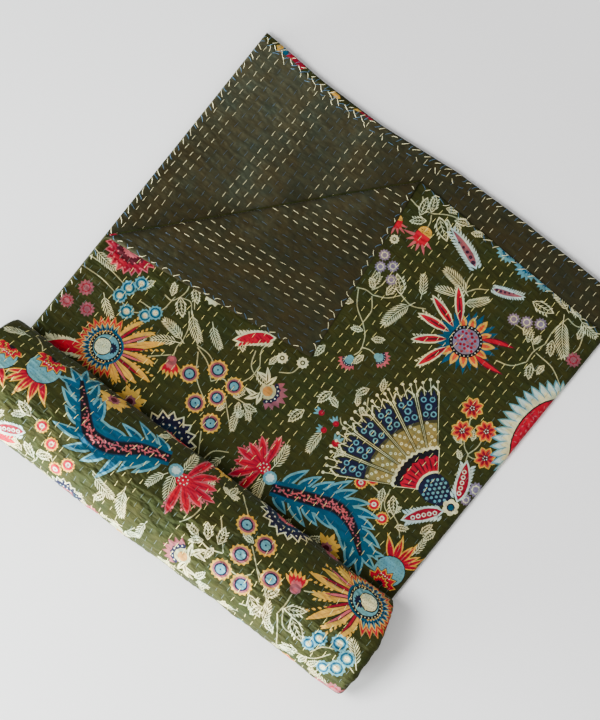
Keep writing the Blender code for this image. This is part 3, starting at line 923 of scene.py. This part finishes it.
def round_fold(x, lift, radius):
    """Across and height of cloth that runs flat to the right fold and then turns under."""
    over = np.clip((x - AXIS) / radius, 0, math.pi)
    reach = radius + lift * (0.5 + 0.5 * np.cos(np.minimum(over, 2.6) * 1.2))
    return np.where(x > AXIS, AXIS + reach * np.sin(over), x), OUTER_R + reach * np.cos(over)


def top_place(x, y, lift=0):
    """Point on the printed side of the top layer, lift millimetres above it."""
    x, y = np.asarray(x, float), np.asarray(y, float)
    rise = quilting(x, y, 1) + ripple(x, y) + lift
    x1, y1, drop = hem_turn(x, y, 8)
    across, height = round_fold(x1, rise - drop, OUTER_R)
    bend = np.clip(past_crease(x, y) / CREASE_R, 0, math.pi / 2)
    return strip_mm(across, height + 0.6 * CREASE_R * (1 - np.cos(bend)), y1)


def printed_mesh(name, outline, page, place, across, along, step):
    """Cuts a flat page into its printed shapes and lays it on the cloth; every face keeps its ink.

    across and along are the reach of the grid of points that lets the page bend with the cloth.
    """
    edge = []
    for a, b in zip(np.asarray(outline, float), np.roll(outline, -1, axis=0)):
        steps = math.ceil(np.linalg.norm(b - a) / 3)
        edge.extend(a + (b - a) * k / steps for k in range(steps))
    edge = np.array(edge)
    shapes = [(edge, "ground"), *page]
    points, loops = [], []
    for shape, _ in shapes:
        loops.append(list(range(len(points), len(points) + len(shape))))
        points.extend(map(tuple, shape))
    grid = np.meshgrid(np.arange(*across, ROW / 4), np.arange(*along, step), indexing="ij")
    gx, gy = (g.ravel() for g in grid)
    hit = np.zeros(len(gx), bool)
    for (ax, ay), (bx, by) in zip(edge, np.roll(edge, -1, axis=0)):
        level_x = ax + (bx - ax) * (gy - ay) / (by - ay if by != ay else 1)
        hit ^= ((ay > gy) != (by > gy)) & (gx < level_x)
    points.extend(zip(gx[hit].tolist(), gy[hit].tolist()))
    verts, _, tris, _, _, origin = delaunay_2d_cdt([Vector(p) for p in points], [], loops, 0, 1e-4, True)
    kept = [(tri, max(ids)) for tri, ids in zip(tris, origin) if 0 in ids]
    at = np.array([tuple(v) for v in verts])
    used = np.unique([k for tri, _ in kept for k in tri])
    index = np.full(len(at), -1)
    index[used] = np.arange(len(used))
    piece = shown_mesh(name, place(at[used, 0], at[used, 1]), index[np.array([tri for tri, _ in kept])])
    inks = np.array([[*(v / 255 for v in INK[ink]), 1.0] for _, ink in shapes])
    paint = piece.data.color_attributes.new("ink", "BYTE_COLOR", "CORNER")
    paint.data.foreach_set("color_srgb", np.repeat(inks[[top for _, top in kept]], 3, axis=0).ravel())
    return piece


TOP_STEMS = (
    # from X, Y, to X, Y, bend
    (-286, -58, -222, -62, 0.05), (-286, -74, -220, -78, 0.05), (-222, -78, -182, -74, -0.2),
    (-198, -66, -166, -34, -0.35), (-162, -8, -161, -31, 0.1), (-178, -40, -161, -31, -0.3),
    (-152, -12, -137, -32, 0), (-161, -31, -137, -38, 0.3), (-141, -38, -124, -72, 0.1),
    (-124, -72, -121, -95, -0.1), (-137, -38, -106, -66, 0.1), (-106, -66, -70, -74, 0.1),
    (-104, -68, -64, -92, 0.1), (-64, -92, -38, -84, 0.3), (-100, -72, -52, -118, -0.1),
    (-88, -86, -90, -98, 0), (-44, -26, -16, -54, -0.2), (-34, 0, -28, -38, -0.2),
    (-28, -38, -34, -72, 0.1), (-40, -95, -4, -128, 0), (-30, -90, 2, -90, 0.05),
    (-34, -150, -12, -186, 0), (-146, -116, -124, -96, 0), (8, 117, 39, 86, -0.1), (39, 86, 58, 60, 0.1),
    (58, 60, 76, 63, 0.1), (58, 60, 56, 46, 0.1), (27, 120, 39, 86, 0.15), (5, 117, 27, 122, 0.1),
    (27, 122, 55, 144, -0.1), (55, 144, 90, 149, -0.15), (19, 128, 10, 150, 0.1), (22, 126, 28, 150, -0.1),
    (124, 175, 116, 197, 0.1), (116, 197, 136, 217, 0.1), (116, 197, 108, 222, 0.1),
    (199, 151, 230, 173, -0.15), (230, 173, 234, 206, 0.1), (234, 206, 236, 250, 0.08),
    (236, 250, 262, 258, -0.2), (232, 190, 284, 174, 0.1), (187, 203, 230, 190, 0.15),
    (262, 250, 258, 200, 0.2), (-12, 250, 21, 252, -0.1), (21, 252, 64, 268, 0.1), (21, 250, 27, 229, 0.1),
    (-2, 262, 10, 240, 0.1), (250, 2, 246, 34, -0.1), (246, 34, 232, 44, 0.1), (246, 34, 248, 62, -0.1),
    (246, 32, 262, 38, -0.1), (240, 52, 218, 76, 0.1), (104, 14, 108, -34, 0.2), (108, -34, 92, -28, 0.2),
    (108, -34, 132, -66, -0.1), (176, -72, 206, -92, 0.2), (198, -62, 222, -92, -0.2),
    (216, -84, 246, -104, 0.1), (12, -3, -4, -30, 0.2), (-10, -180, 10, -150, 0.2),
    (100, -190, 140, -184, 0.2),
)
TOP_LEAVES = (
    # foot X, Y, way it points, length
    (-170, -36, 112, 19), (-161, -30, -50, 27), (-154, -8, -50, 23), (-208, -52, 60, 20),
    (-30, -90, 62, 18), (-14, -90, 4, 20), (-20, -91, -62, 18), (-6, -92, -45, 17), (-46, -112, 25, 17),
    (-36, -118, 70, 15), (55, 144, 134, 29), (19, 130, 95, 22), (40, 132, 85, 22), (24, 128, 140, 17),
    (64, -8, 250, 24), (51, -48, 250, 26), (98, 24, 240, 20), (66, 54, 255, 18), (60, 76, 30, 18),
    (46, 78, 200, 17), (19, 252, 110, 24), (10, 240, 100, 26), (40, 258, -60, 24), (30, 254, -40, 34),
    (21, 240, 215, 22), (52, 262, -50, 20), (188, 240, 4, 31), (206, 198, 95, 18), (216, 194, 110, 19),
    (222, 196, 80, 16), (236, 176, -68, 22), (250, 184, -95, 16), (240, 50, 115, 16), (252, 40, 8, 17),
    (232, 40, 170, 16), (244, 22, 140, 15), (214, -86, 52, 18), (206, -66, -55, 26), (190, -66, -65, 20),
    (232, -96, 24, 18), (82, -20, 160, 18), (118, -10, 150, 17), (100, -4, 120, 16), (112, 30, 110, 18),
    (-20, -30, 80, 16), (-68, -20, -60, 22), (-26, -46, -20, 24), (14, 100, 205, 18), (20, 34, 260, 20),
    (-10, -110, 80, 15), (156, -178, 40, 20), (120, -186, 70, 18), (262, -84, 70, 20), (276, -70, 250, 20),
    (-168, -110, 70, 15), (66, 270, 200, 20), (74, 262, 30, 18), (228, 268, -24, 22), (246, 262, 160, 18),
    (238, 216, -64, 22), (30, 268, 20, 18), (262, 236, 100, 18),
)
TOP_FEATHERS = (
    # foot X, Y, way it points, length
    (-136, -38, -48, 42), (-107, -33, -46, 36), (-124, -73, 158, 40), (-127, -78, 202, 38),
    (-238, -88, -44, 34), (-282, -48, -16, 40), (-14, -100, -80, 30), (72, 143, -116, 50),
    (76, 158, 112, 32), (117, 197, 158, 45), (112, 188, 188, 33), (122, 184, 36, 36), (232, 246, -62, 56),
    (230, 258, 154, 30), (250, 258, -22, 32), (86, -56, -98, 36), (112, -62, -34, 40), (66, -132, 84, 38),
    (64, -146, -82, 40), (272, -110, 80, 26), (-270, -205, 60, 40), (-230, -190, 100, 36),
    (8, -160, 250, 30), (30, -190, 20, 34),
)
TOP_FIGURES = (
    # figure, then X, Y, size and way it points for each one
    (red_scallop, (-246, -16, 0.85, -90)), (button, (-127, -2, 1.7)),
    (blue_berry, (-210, -47), (-219, -61, 1.05), (-222, -76), (-203, -87, 1.05), (-181, -77, 0.95),
     (-173, -66)), (mauve_thistle, (-262, -94, 0.85), (-244, -115, 0.8), (-271, -122, 0.75)),
    (red_feather, (-212, -158, 1.15, 204)), (ray_flower, (-195, -139, 0.82, 24)),
    (tulip, (-121, -98, 0.95, -62)),
    (berry, (-66, -75, 1.1), (-37, -79), (-91, -101, 1.05), (-45, -104), (-62, -126, 1.1),
     (-31, -135, 1.1)), (red_feather, (-36, 0, 1, 216)), (button, (-12, -13), (12, -2)),
    (mauve_flower, (0, -58, 1.45, 2)), (half_scallop, (-62, -190, 0.95, 90)),
    (bud, (29, 222, 0.8, -90), (-8, 216, 0.6, -60)),
    (slim_paisley, (108, 229, 0.95, 150), (138, 222, 0.66, 14)),
    (sky_fringe, (126, 274, 0.9, -92), (158, 274, 1.05, -88), (186, 272, 0.8, -90)),
    (lilac_thistle, (7, 172, 0.62), (24, 167, 0.62), (12, 157, 0.6), (33, 152, 0.6), (184, 207, 0.66),
     (199, 214, 0.66), (214, 223, 0.66)), (mauve_thistle, (274, 212, 0.8)),
    (lilac_thistle, (282, 4, 0.8), (280, -14, 0.6)), (heart_flower, (155, 147, 0.98, 191)),
    (rose_cup, (82, 63, 0.85, 4), (55, 38, 0.85, -92)),
    (eight_petal, (214, 84), (246, 71), (222, 53), (266, 43)), (serrated_half, (306, 112, 0.86, 180)),
    (red_bud, (70, -38, 0.9, 190), (93, -38, 0.9, 150), (86, -54, 0.9, 200), (108, -58, 1.1, 100)),
    (red_berry, (173, -65), (164, -78), (194, -90), (213, -98)), (tufted_fruit, (262, -146, 0.98, 90)),
    (gold_burst, (182, -172, 1, 20), (-128, -176, 1, 60)), (fan_flower, (245, -28, 1, 168)),
    (button, (4, 196, 0.8)),
)
TOP_CORE = ((80, -153), (128, -134), (160, -122), (190, -129), (222, -152))
top_page = []
print_rows(top_page, TOP_STEMS, TOP_LEAVES, TOP_FEATHERS, TOP_FIGURES)
plumed_spray(top_page, TOP_CORE, 16.5, spray=(57, -138, 0.94, 182), bead=(71, -144))

print_top = printed_mesh(
    "print_top",
    [
        (EDGE - PAST_HEM, -219), (AXIS + OUTER_RUN, -219), (AXIS + OUTER_RUN, 264),
        *hem_edge(8, 280, HIGH[0] - 6, 12),
        HIGH + OUT * 3 - ALONG * 2, LOW + OUT * 3 + ALONG * 2, (EDGE - PAST_HEM, -26),
    ],
    top_page,
    top_place,
    across=(EDGE - 1, AXIS + 20),
    along=(-218, 276),
    step=2.1,
)
printed_cotton = cloth_material("printed_cotton")
print_top.data.materials.append(printed_cotton)
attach(print_top, "root")

# ---------------------------------------------------------------- Print on the roll
# The skin of the roll is the other half of the same printed sheet, wound on with its figures the
# other way up. The cloth hangs slack between its stitch rows here, in long shallow drapes.
ROLL_ZERO = 1000 * np.interp(0, TURNS, COIL_RUN)
INNER_R = 500 * (SHEET + 3 * PITCH)
INNER_RUN = 9.4
SKIN = (-27, 326)


def roll_place(x, t, lift=0):
    """Point on the roll's skin: x across the strip, t round the roll from its underside.

    The skin is free between the floor and the flat cloth, and lies close at both.
    """
    x, t = np.asarray(x, float), np.asarray(t, float)
    free = np.clip((t - 22) / 40, 0, 1) * np.clip((SKIN[1] - t) / 20, 0, 1)
    drape = 0.7 + 0.8 * np.sin(math.tau * (x / 330 + t / 260) + 0.4)
    drape += 0.5 * np.sin(math.tau * (x / 88 - t / 150))
    slack = np.clip(np.sin(math.tau * (x / 190 + t / 240) + 1.1) + 0.3, 0, 1)
    dents = 0.9 * slack * np.sin(math.tau * (t / 27 - x / 74 + 0.3 * np.sin(x / 33)))
    rise = np.maximum(free * (0.4 + drape + dents + 1.2 * quilting(x, t, 3)), 0) + 0.1 + lift
    right = x > AXIS
    way = np.where(right, 1, -1)
    base, radius = np.where(right, AXIS, 1000 * LEFT), np.where(right, OUTER_R, INNER_R)
    turn = np.clip(way * (x - base) / radius, 0, math.pi)
    reach = radius + rise * (0.55 + 0.45 * np.cos(turn))
    across = np.where(turn > 0, base + way * reach * np.sin(turn), x)
    height = np.where(turn > 0, radius - reach * np.cos(turn), -rise)
    return strip_point(across / 1000, height / 1000, COIL_START - (ROLL_ZERO + t) / 1000)


def skin_spot(x, t):
    """Where a place lies across the strip, given that the roll's turns have slid apart at the ends."""
    turn = np.interp(t + ROLL_ZERO, 1000 * COIL_RUN, TURNS)
    return x * HALF / float(np.interp(turn, COIL_TURNS, COIL_LEFT if x < 0 else COIL_RIGHT)), t


ROLL_STEMS = (
    # from X, round t, to X, t, bend
    (66, 197, 97, 162, 0), (97, 161, 58, 160, 0.15), (68, 240, 99, 212, 0), (120, 190, 142, 172, 0),
    (142, 172, 176, 148, 0.05), (142, 172, 156, 160, 0), (116, 150, 142, 162, -0.2),
    (160, 168, 170, 150, 0.1), (197, 172, 197, 143, 0.05), (197, 143, 218, 98, 0.05),
    (199, 152, 240, 136, -0.3), (176, 148, 206, 116, 0), (168, 144, 150, 122, 0.2),
    (235, 112, 281, 142, -0.15), (258, 128, 282, 150, 0.15), (296, 128, 276, 108, -0.2),
    (300, 146, 318, 140, 0), (284, 122, 268, 96, 0.2), (206, 184, 238, 202, 0), (-96, 146, -60, 132, 0.1),
    (-60, 132, -40, 134, 0.1), (-126, 108, -80, 96, 0.2), (-212, 154, -182, 152, 0.1),
    (-166, 128, -140, 120, 0.2), (-166, 128, -170, 96, 0.1), (-200, 110, -170, 104, -0.2),
    (-20, 84, -12, 120, 0.1), (20, 84, 84, 108, 0.1), (84, 108, 62, 126, 0.2), (-60, 84, -34, 100, 0.2),
    (110, 84, 150, 100, 0.1), (-268, 150, -240, 120, 0.1), (-262, 246, -240, 228, 0.1),
    (-200, 246, -214, 230, 0.2), (40, 190, 30, 160, 0.1),
)
ROLL_LEAVES = (
    # foot X, t, way it points, length
    (60, 160, 165, 20), (72, 163, 120, 22), (86, 166, 100, 24), (68, 160, 215, 18), (84, 160, 260, 18),
    (56, 226, 80, 20), (56, 226, 20, 14), (56, 226, 150, 13), (32, 214, 100, 18), (154, 140, -36, 30),
    (200, 152, 26, 27), (214, 150, -38, 32), (172, 150, 60, 20), (176, 138, 250, 20), (120, 194, 170, 17),
    (244, 118, 205, 24), (258, 120, 250, 18), (262, 108, 60, 18), (84, 112, 60, 18), (88, 106, 20, 20),
    (-168, 110, 140, 24), (-168, 118, 30, 22), (-186, 108, 150, 20), (-100, 98, 60, 18),
    (-90, 98, -40, 20), (-200, 154, 160, 24), (-206, 152, 210, 18), (-24, 96, 150, 17), (-18, 104, 30, 18),
    (40, 88, 70, 18), (130, 92, 80, 20), (-240, 124, 60, 18), (-252, 134, 220, 18), (-66, 134, 240, 20),
    (12, 244, 100, 17), (-54, 92, 100, 16), (222, 104, 20, 20), (206, 118, 150, 20), (-60, 236, 60, 18),
    (-240, 88, 100, 22),
)
ROLL_FEATHERS = (
    # foot X, t, way it points, length
    (-90, 142, -24, 36), (-50, 152, -76, 40), (-4, 134, -100, 26), (188, 122, 98, 30), (316, 148, 122, 36),
    (-8, 214, 82, 38), (-14, 206, -78, 42), (-22, 198, -120, 30), (-214, 90, 60, 30), (60, 92, 160, 30),
    (206, 92, 30, 30), (-130, 84, 160, 28), (150, 108, 200, 30), (298, 100, 160, 32), (-286, 118, 60, 34),
    (-270, 238, 200, 30), (-190, 236, 20, 30), (100, 92, 100, 24), (-30, 108, 200, 26),
)
ROLL_FIGURES = (
    # figure, then X, t, size and way it points for each one
    (tufted_fruit, (-225, 212, 1, -90), (-276, 194, 0.85, -90)), (gold_burst, (-134, 240, 1, -60)),
    (red_berry, (-181, 153), (-158, 142), (-126, 133), (-137, 118, 1.05)), (bean, (-196, 132, 0.85, 206)),
    (half_scallop, (-112, 88, 0.62, 90), (128, 262, 0.92, -90)),
    (berry, (98, 208, 1.1), (133, 201, 1.15), (116, 173, 1.1), (165, 171, 1.1), (107, 144, 1.1),
     (139, 144, 1.1)), (tulip, (198, 176, 0.95, 112)), (ray_flower, (274, 222, 0.86, 216)),
    (blue_berry, (282, 159, 1.1), (258, 149), (301, 149, 1.1), (297, 132, 1.1), (251, 136, 0.9),
     (282, 122, 0.95)), (mauve_flower, (58, 127, 1.4, 182)), (mauve_thistle, (308, 100), (288, 92, 0.8)),
    (mauve_flower, (-30, 88, 1, -90)), (mauve_thistle, (-72, 92, 0.9)), (red_feather, (-240, 96, 0.9, 20)),
    (coral_cup, (160, 88, 1, -90)), (gold_burst, (30, 262, 0.8, -70)), (red_feather, (-60, 262, 0.9, 10)),
    (mauve_thistle, (200, 262, 0.9)), (eight_petal, (236, 84, 0.9)),
)
ROLL_CORE = ((-30, 218), (-64, 206), (-95, 184), (-127, 181), (-152, 202), (-180, 231))
roll_page = []
print_rows(roll_page, ROLL_STEMS, ROLL_LEAVES, ROLL_FEATHERS, ROLL_FIGURES, skin_spot)
plumed_spray(roll_page, [skin_spot(x, t) for x, t in ROLL_CORE], 17, spray=(0, 205, 0.98, 2), bead=(-14, 210))

left_end, right_end = 1000 * LEFT - INNER_RUN, AXIS + OUTER_RUN
print_roll = printed_mesh(
    "print_roll",
    [(left_end, SKIN[0]), (right_end, SKIN[0]), (right_end, SKIN[1]), (left_end, SKIN[1])],
    roll_page,
    roll_place,
    across=(EDGE - 9.9, AXIS + 19),
    along=(SKIN[0] + 1, SKIN[1]),
    step=2.1,
)
print_roll.data.materials.append(printed_cotton)
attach(print_roll, "root")

# ---------------------------------------------------------------- The plain reverse
# The back of the quilt is plain browner olive cotton. It shows on the next layer down, where the top
# layer's corner is turned back, and on that turned corner itself.
SIDE_7 = 1000 * HEM_LEFT[7]
NEXT_R = OUTER_R - 1000 * PITCH
NEXT_RUN = 14.6
FLAP_GAP = 2.5
SETTLE_RUN = 38


def reverse_place(x, y, lift=0):
    """Point on the next layer down, which is pressed flat where the top layer covers it."""
    x, y = np.asarray(x, float), np.asarray(y, float)
    bare = np.clip(np.maximum(past_crease(x, y), y - hem_mm(8, x)) / 6, 0, 1)
    rise = np.maximum(bare * (0.25 + quilting(x, y, 2, SIDE_7)), 0.03) + lift
    x1, y1, drop = hem_turn(x, y, 7)
    return strip_mm(*round_fold(x1, rise - drop, NEXT_R), y1)


def flap_place(x, y, lift=0):
    """Point on the upper side of the corner that is folded back, from its place before folding."""
    x, y = np.asarray(x, float), np.asarray(y, float)
    x1, y1, drop = hem_turn(x, y, 8)
    out = past_crease(x1, y1)
    reach = CREASE_R + 0.55 + 0.9 * quilting(x, y, 1) * np.clip(out / 12, 0, 1) + lift - drop
    turn = np.clip(out / CREASE_R, 0, math.pi)
    run = np.maximum(out - math.pi * CREASE_R, 0)
    along = reach * np.sin(turn) - run - out
    settle = np.clip(run / SETTLE_RUN, 0, 1)
    settle = settle * settle * (3 - 2 * settle)
    sag = settle * (2 * CREASE_R - FLAP_GAP - 0.8 * crumple(x * 0.5, y * 0.5, 6))
    px, py = x1 + OUT[0] * along, y1 + OUT[1] * along
    return strip_mm(px, 1000 * level(8) + CREASE_R - reach * np.cos(turn) - sag + ripple(px, py), py)


reverse = printed_mesh(
    "reverse",
    [
        (SIDE_7 - PAST_HEM, -60), (LOW[0] + 24, -40), (HIGH[0], HIGH[1] - 22), (280, 240),
        (AXIS + NEXT_RUN, 240), *hem_edge(7, AXIS + NEXT_RUN, SIDE_7 - PAST_HEM, 14),
    ],
    [],
    reverse_place,
    across=(SIDE_7, AXIS + 14),
    along=(-58, 318),
    step=2.6,
)
flap = printed_mesh(
    "flap",
    [(EDGE - PAST_HEM, LOW[1] - 6), *hem_edge(8, HIGH[0] + 4, EDGE - PAST_HEM, 8)],
    [],
    flap_place,
    across=(EDGE, HIGH[0] + 2),
    along=(LOW[1] - 4, 278),
    step=2.6,
)
# Near this corner the reverse cotton turns greyer and paler.
GREYER_CORNER = (-0.28, 0.3, 0.015)
reverse_cotton = cloth_material("reverse_cotton", ((49, 46, 27), (74, 77, 62)), 1.7, GREYER_CORNER)
for piece in (reverse, flap):
    piece.data.materials.append(reverse_cotton)
    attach(piece, "root")

# ---------------------------------------------------------------- Printed front turned over the hem
# Near the top corner the printed front was folded over the back before it was sewn down, so a narrow
# strip of print shows along the hem of the second layer, getting narrower to the right.
STRIP_FROM, STRIP_TO = -284, -110
STRIP_LIFT = 0.6
strip_page = []
for x, r, ink in (
    (-258, 8.4, "yellow"), (-249, 10.5, "blue"), (-240, 10.5, "mauve"), (-235, 14.7, "red"),
    (-228, 10.5, "crimson"), (-168, 8.4, "yellow"), (-131, 8.4, "yellow"), (-122, 12.6, "crimson"),
):
    Block(strip_page, *hem_spot(7, x, 3.5), 1, 8 * x).star(r, 0.7, 6, ink, squash=0.9)


def strip_inside(x):
    return hem_spot(7, x, 9 + 1.5 * math.sin(x / 9) - (x - STRIP_FROM) / 32)


def strip_place(x, y, lift=0):
    """Point on the turned strip, which lies on the plain back."""
    return reverse_place(x, y, lift + STRIP_LIFT)


inner = [strip_inside(x) for x in np.linspace(STRIP_FROM, STRIP_TO, 26)]
outer = [hem_spot(7, x, -1.2) for x in np.linspace(STRIP_TO, STRIP_FROM, 14)]
turned_print = printed_mesh(
    "turned_print",
    inner + outer,
    strip_page,
    strip_place,
    across=(STRIP_FROM + 1, STRIP_TO),
    along=(290, 312),
    step=2.6,
)
turned_print.data.materials.append(printed_cotton)
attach(turned_print, "root")

# ---------------------------------------------------------------- Running stitches
# Rows of hand running stitch in thick cotton thread hold the two sheets together, by turns four rows
# in cream and four or five in blue or grey. Each stitch is a short twisted thread that dips into the
# cloth at its ends.
STITCH_HALF = 3.9
chance = random.Random(5)
sewn = {"cream": [], "pale": [], "blue": [], "grey": []}


def sew(place, edge, seed, rows, low, high, shift, cycle=8, keep=None):
    """Stitches down the rows that lie on the shown cloth; four rows of each cycle are cream."""
    light, dark = ("cream", "grey") if place in (top_place, roll_place) else ("pale", "blue")
    for row in rows:
        x = edge + row * ROW
        phase = float(row_phase(row, seed))
        for k in range(math.ceil(low / BEAT + phase), math.floor(high / BEAT + phase) + 1):
            y = (k - phase) * BEAT + chance.uniform(-0.9, 0.9)
            half = STITCH_HALF * chance.uniform(0.85, 1.15)
            if keep and not (keep(x, y - half) and keep(x, y + half)):
                continue
            stitch = (place, x + chance.uniform(-0.35, 0.35), y, half, chance.uniform(-5, 5), 0)
            sewn[light if (row - shift) % cycle < 4 else dark].append(stitch)


def thread_mesh(name, stitches, thick, rise=0.5):
    """Every stitch as a low arched thread laid along its line on the cloth."""
    ends = np.array([-1, -0.82, -0.35, 0.35, 0.82, 1])[None, :, None]
    arch = np.array([-0.55, 0.35, 0.95, 0.95, 0.35, -0.55])[None, :, None] * rise
    ring = np.radians([0, 45, 90, 135, 180])
    quads = grid_faces(ends.size, ring.size)
    points = []
    for place in dict.fromkeys(s[0] for s in stitches):
        rows = np.array([s[1:] for s in stitches if s[0] is place], float)
        x, y, half, lean, bow = (rows[:, k, None, None] for k in range(5))
        along = half * ends
        across = thick / 2 * np.cos(ring) * (1 - 0.3 * np.abs(ends) ** 3) + bow * (1 - ends**2)
        c, s = np.cos(np.radians(90 + lean)), np.sin(np.radians(90 + lean))
        px, py = x + along * c + across * s, y + along * s - across * c
        lift = arch + thick * 0.5 * np.sin(ring) + 0 * px
        points.append(place(px.ravel(), py.ravel(), lift.ravel()))
    whole = np.concatenate(points)
    starts = np.arange(0, len(whole), ends.size * ring.size)[:, None, None]
    return shown_mesh(name, whole, (starts + quads).reshape(-1, 4))


def on_top(x, y):
    return past_crease(x, y) < -1 and y < hem_mm(8, x) - 4


def on_reverse(x, y):
    return (past_crease(x, y) > -6 or y > hem_mm(8, x) - 2) and y < hem_mm(7, x) - 4


def on_flap(x, y):
    return past_crease(x, y) > 4 and y < hem_mm(8, x) - 5


sew(top_place, EDGE, 1, range(1, 53), -216, 280, 5, keep=on_top)
sew(flap_place, EDGE, 1, range(1, 27), -20, 280, 5, keep=on_flap)
sew(reverse_place, SIDE_7, 2, range(1, 54), -60, 320, 0, keep=on_reverse)
sew(roll_place, EDGE, 3, range(53), 24, 318, 11, cycle=9)


def thread_material(name, base, other):
    """Soft two-ply cotton thread, its twist showing as slanting grooves."""
    made, add, surface = new_material(name)
    place = add("TexCoord")["Object"]
    patchy = add("TexNoise", {"Vector": place, "Scale": 300.0})["Fac"]
    tints = {"Factor": patchy, "A": colour(base), "B": colour(other)}
    mixed = add("Mix", tints, data_type="RGBA")["Result"]
    twist = add("TexWave", {"Vector": place, "Scale": 420.0}, bands_direction="DIAGONAL")["Fac"]
    ply = add("Bump", {"Strength": 0.6, "Distance": 0.0003, "Height": twist})["Normal"]
    surface({"Base Color": mixed, "Normal": ply, "Roughness": 0.7, "Sheen Weight": 0.2})
    return made


threads, stitching = {}, []
for name, thick, base, other in (
    ("cream", 0.46, (250, 240, 150), (226, 214, 126)),
    ("pale", 0.42, (250, 242, 190), (226, 218, 164)),
    ("blue", 0.32, (66, 96, 120), (46, 66, 86)),
    ("grey", 0.36, (96, 116, 104), (66, 84, 76)),
):
    threads[name] = thread_material(f"{name}_thread", base, other)
    piece = thread_mesh(f"{name}_stitches", sewn[name], thick)
    piece.data.materials.append(threads[name])
    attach(piece, "root")
    stitching.append(piece)

# ---------------------------------------------------------------- Stitches over the hems
# The hems are closed by hand with slanting stitches that go over the edge of the cloth, blue and
# cream by turns. They are thicker than the running stitches and lie closer together.
hem_sewn = {"cream": [], "blue": []}


def whip(place, points, cream_way, blue_way, half):
    for k, (x, y) in enumerate(points):
        turn = (cream_way if k % 2 else blue_way) + chance.uniform(-16, 16)
        stitch = (place, x, y, half * chance.uniform(0.75, 1.3), turn - 90, chance.uniform(-1.4, 1.4))
        hem_sewn["cream" if k % 2 else "blue"].append(stitch)


def down_hem(x, step, low, high):
    return [(x, low + step * k + chance.uniform(-2.2, 2.2)) for k in range(int((high - low) / step))]


def across_hem(layer, step, low, high, inset):
    places = [low + step * k + chance.uniform(-1.5, 1.5) for k in range(int((high - low) / step))]
    return [hem_spot(layer, x, inset) for x in places]


for row in (
    # on which cloth, where, way of the cream and of the blue stitches, half their length
    (reverse_place, down_hem(SIDE_7 + 3.4, 8, -22, 304), 132, 156, 4.8),
    (top_place, down_hem(EDGE + 3.4, 10, -210, -34), 128, 150, 4.2),
    (top_place, across_hem(8, 7, -8, 290, 3.2), 36, -34, 4.9),
    (reverse_place, across_hem(7, 8, -278, 288, 3.4), 34, 66, 4.4),
    (strip_place, across_hem(7, 6.5, STRIP_FROM, STRIP_TO - 2, 8), 140, 44, 4.6),
    (reverse_place, across_hem(7, 13, STRIP_FROM, 60, 13.5), 128, 20, 3.8),
    (flap_place, down_hem(EDGE + 3.2, 8, -14, 272), 60, 130, 3.7),
    (flap_place, across_hem(8, 8, -278, -20, 3.2), -44, 34, 3.7),
):
    whip(*row)
bright_blue = thread_material("bright_blue_thread", (66, 114, 148), (46, 84, 114))
for name, thick, thread in (("cream", 0.58, threads["pale"]), ("blue", 0.5, bright_blue)):
    piece = thread_mesh(f"{name}_hem_stitches", hem_sewn[name], thick, 0.7)
    piece.data.materials.append(thread)
    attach(piece, "root")
    stitching.append(piece)

# ---------------------------------------------------------------- Floor, light and camera
# A pale plain floor. One long low lamp lights the front of the roll, a broad one hangs high above, and
# weak ones stand at the front right and behind. The camera looks down steeply from in front.
bpy.ops.mesh.primitive_plane_add(size=8, location=(0, 0, 0))
floor = bpy.context.object
floor.name = "floor"
paper, _, surface = new_material("paper")
surface({"Base Color": (0.96, 0.96, 0.96, 1), "Roughness": 0.9})
floor.data.materials.append(paper)

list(stitching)

scene = bpy.context.scene
scene.world = bpy.data.worlds.new("studio")
scene.world.use_nodes = True
scene.world.node_tree.nodes["Background"].inputs["Color"].default_value = (1, 1, 1, 1)
scene.world.node_tree.nodes["Background"].inputs["Strength"].default_value = 0.5
for place, wide, tall, power, tint in (
    ((0.6, -1.9, 1.15), 0.8, 0.8, 22, (1, 0.98, 0.94)),
    ((-0.8, -1.5, 0.06), 1.3, 0.1, 290, (0.92, 1, 0.99)),
    ((-0.3, -1.1, 2.0), 0.9, 0.9, 74, (1, 1, 1)),
    ((0.3, 2.2, 0.4), 1.2, 0.4, 16, (1, 1, 1)),
):
    lamp = bpy.data.lights.new("soft_light", "AREA")
    lamp.shape = "RECTANGLE"
    lamp.size, lamp.size_y = wide, tall
    lamp.energy, lamp.color = power, tint
    stand = bpy.data.objects.new("soft_light", lamp)
    stand.location = place
    stand.rotation_mode = "QUATERNION"
    stand.rotation_quaternion = (-Vector(place)).to_track_quat("-Z", "Y")
    scene.collection.objects.link(stand)

# The view takes in WIDE by TALL metres. Its top left corner looks at CORNER on the floor, less MIDDLE
# like everything else. The camera stands FAR away, turned by TURN and raised by TILT.
PIXEL = 0.001255
WIDE, TALL = 600 * PIXEL, 720 * PIXEL
CORNER = np.array([-0.58252, 0.1345, 0])
FAR = 14.0
LENS_BACK = 36
TURN, TILT = math.radians(38.4), math.radians(75)
right_way = np.array([math.cos(TURN), math.sin(TURN), 0])
up_way = np.array([-math.sin(TURN) * math.sin(TILT), math.cos(TURN) * math.sin(TILT), math.cos(TILT)])
back_way = np.cross(right_way, up_way)
aim = (right_way * WIDE - up_way * TALL) / 2
aim = aim - back_way * aim[2] / back_way[2] + CORNER - MIDDLE
camera = bpy.data.objects.new("camera", bpy.data.cameras.new("camera"))
camera.location = Vector(aim + back_way * FAR)
camera.rotation_mode = "QUATERNION"
camera.rotation_quaternion = Vector(-back_way).to_track_quat("-Z", "Y")
camera.data.sensor_width = LENS_BACK
camera.data.lens = LENS_BACK * FAR / TALL
camera.data.clip_end = 50
scene.collection.objects.link(camera)
scene.camera = camera
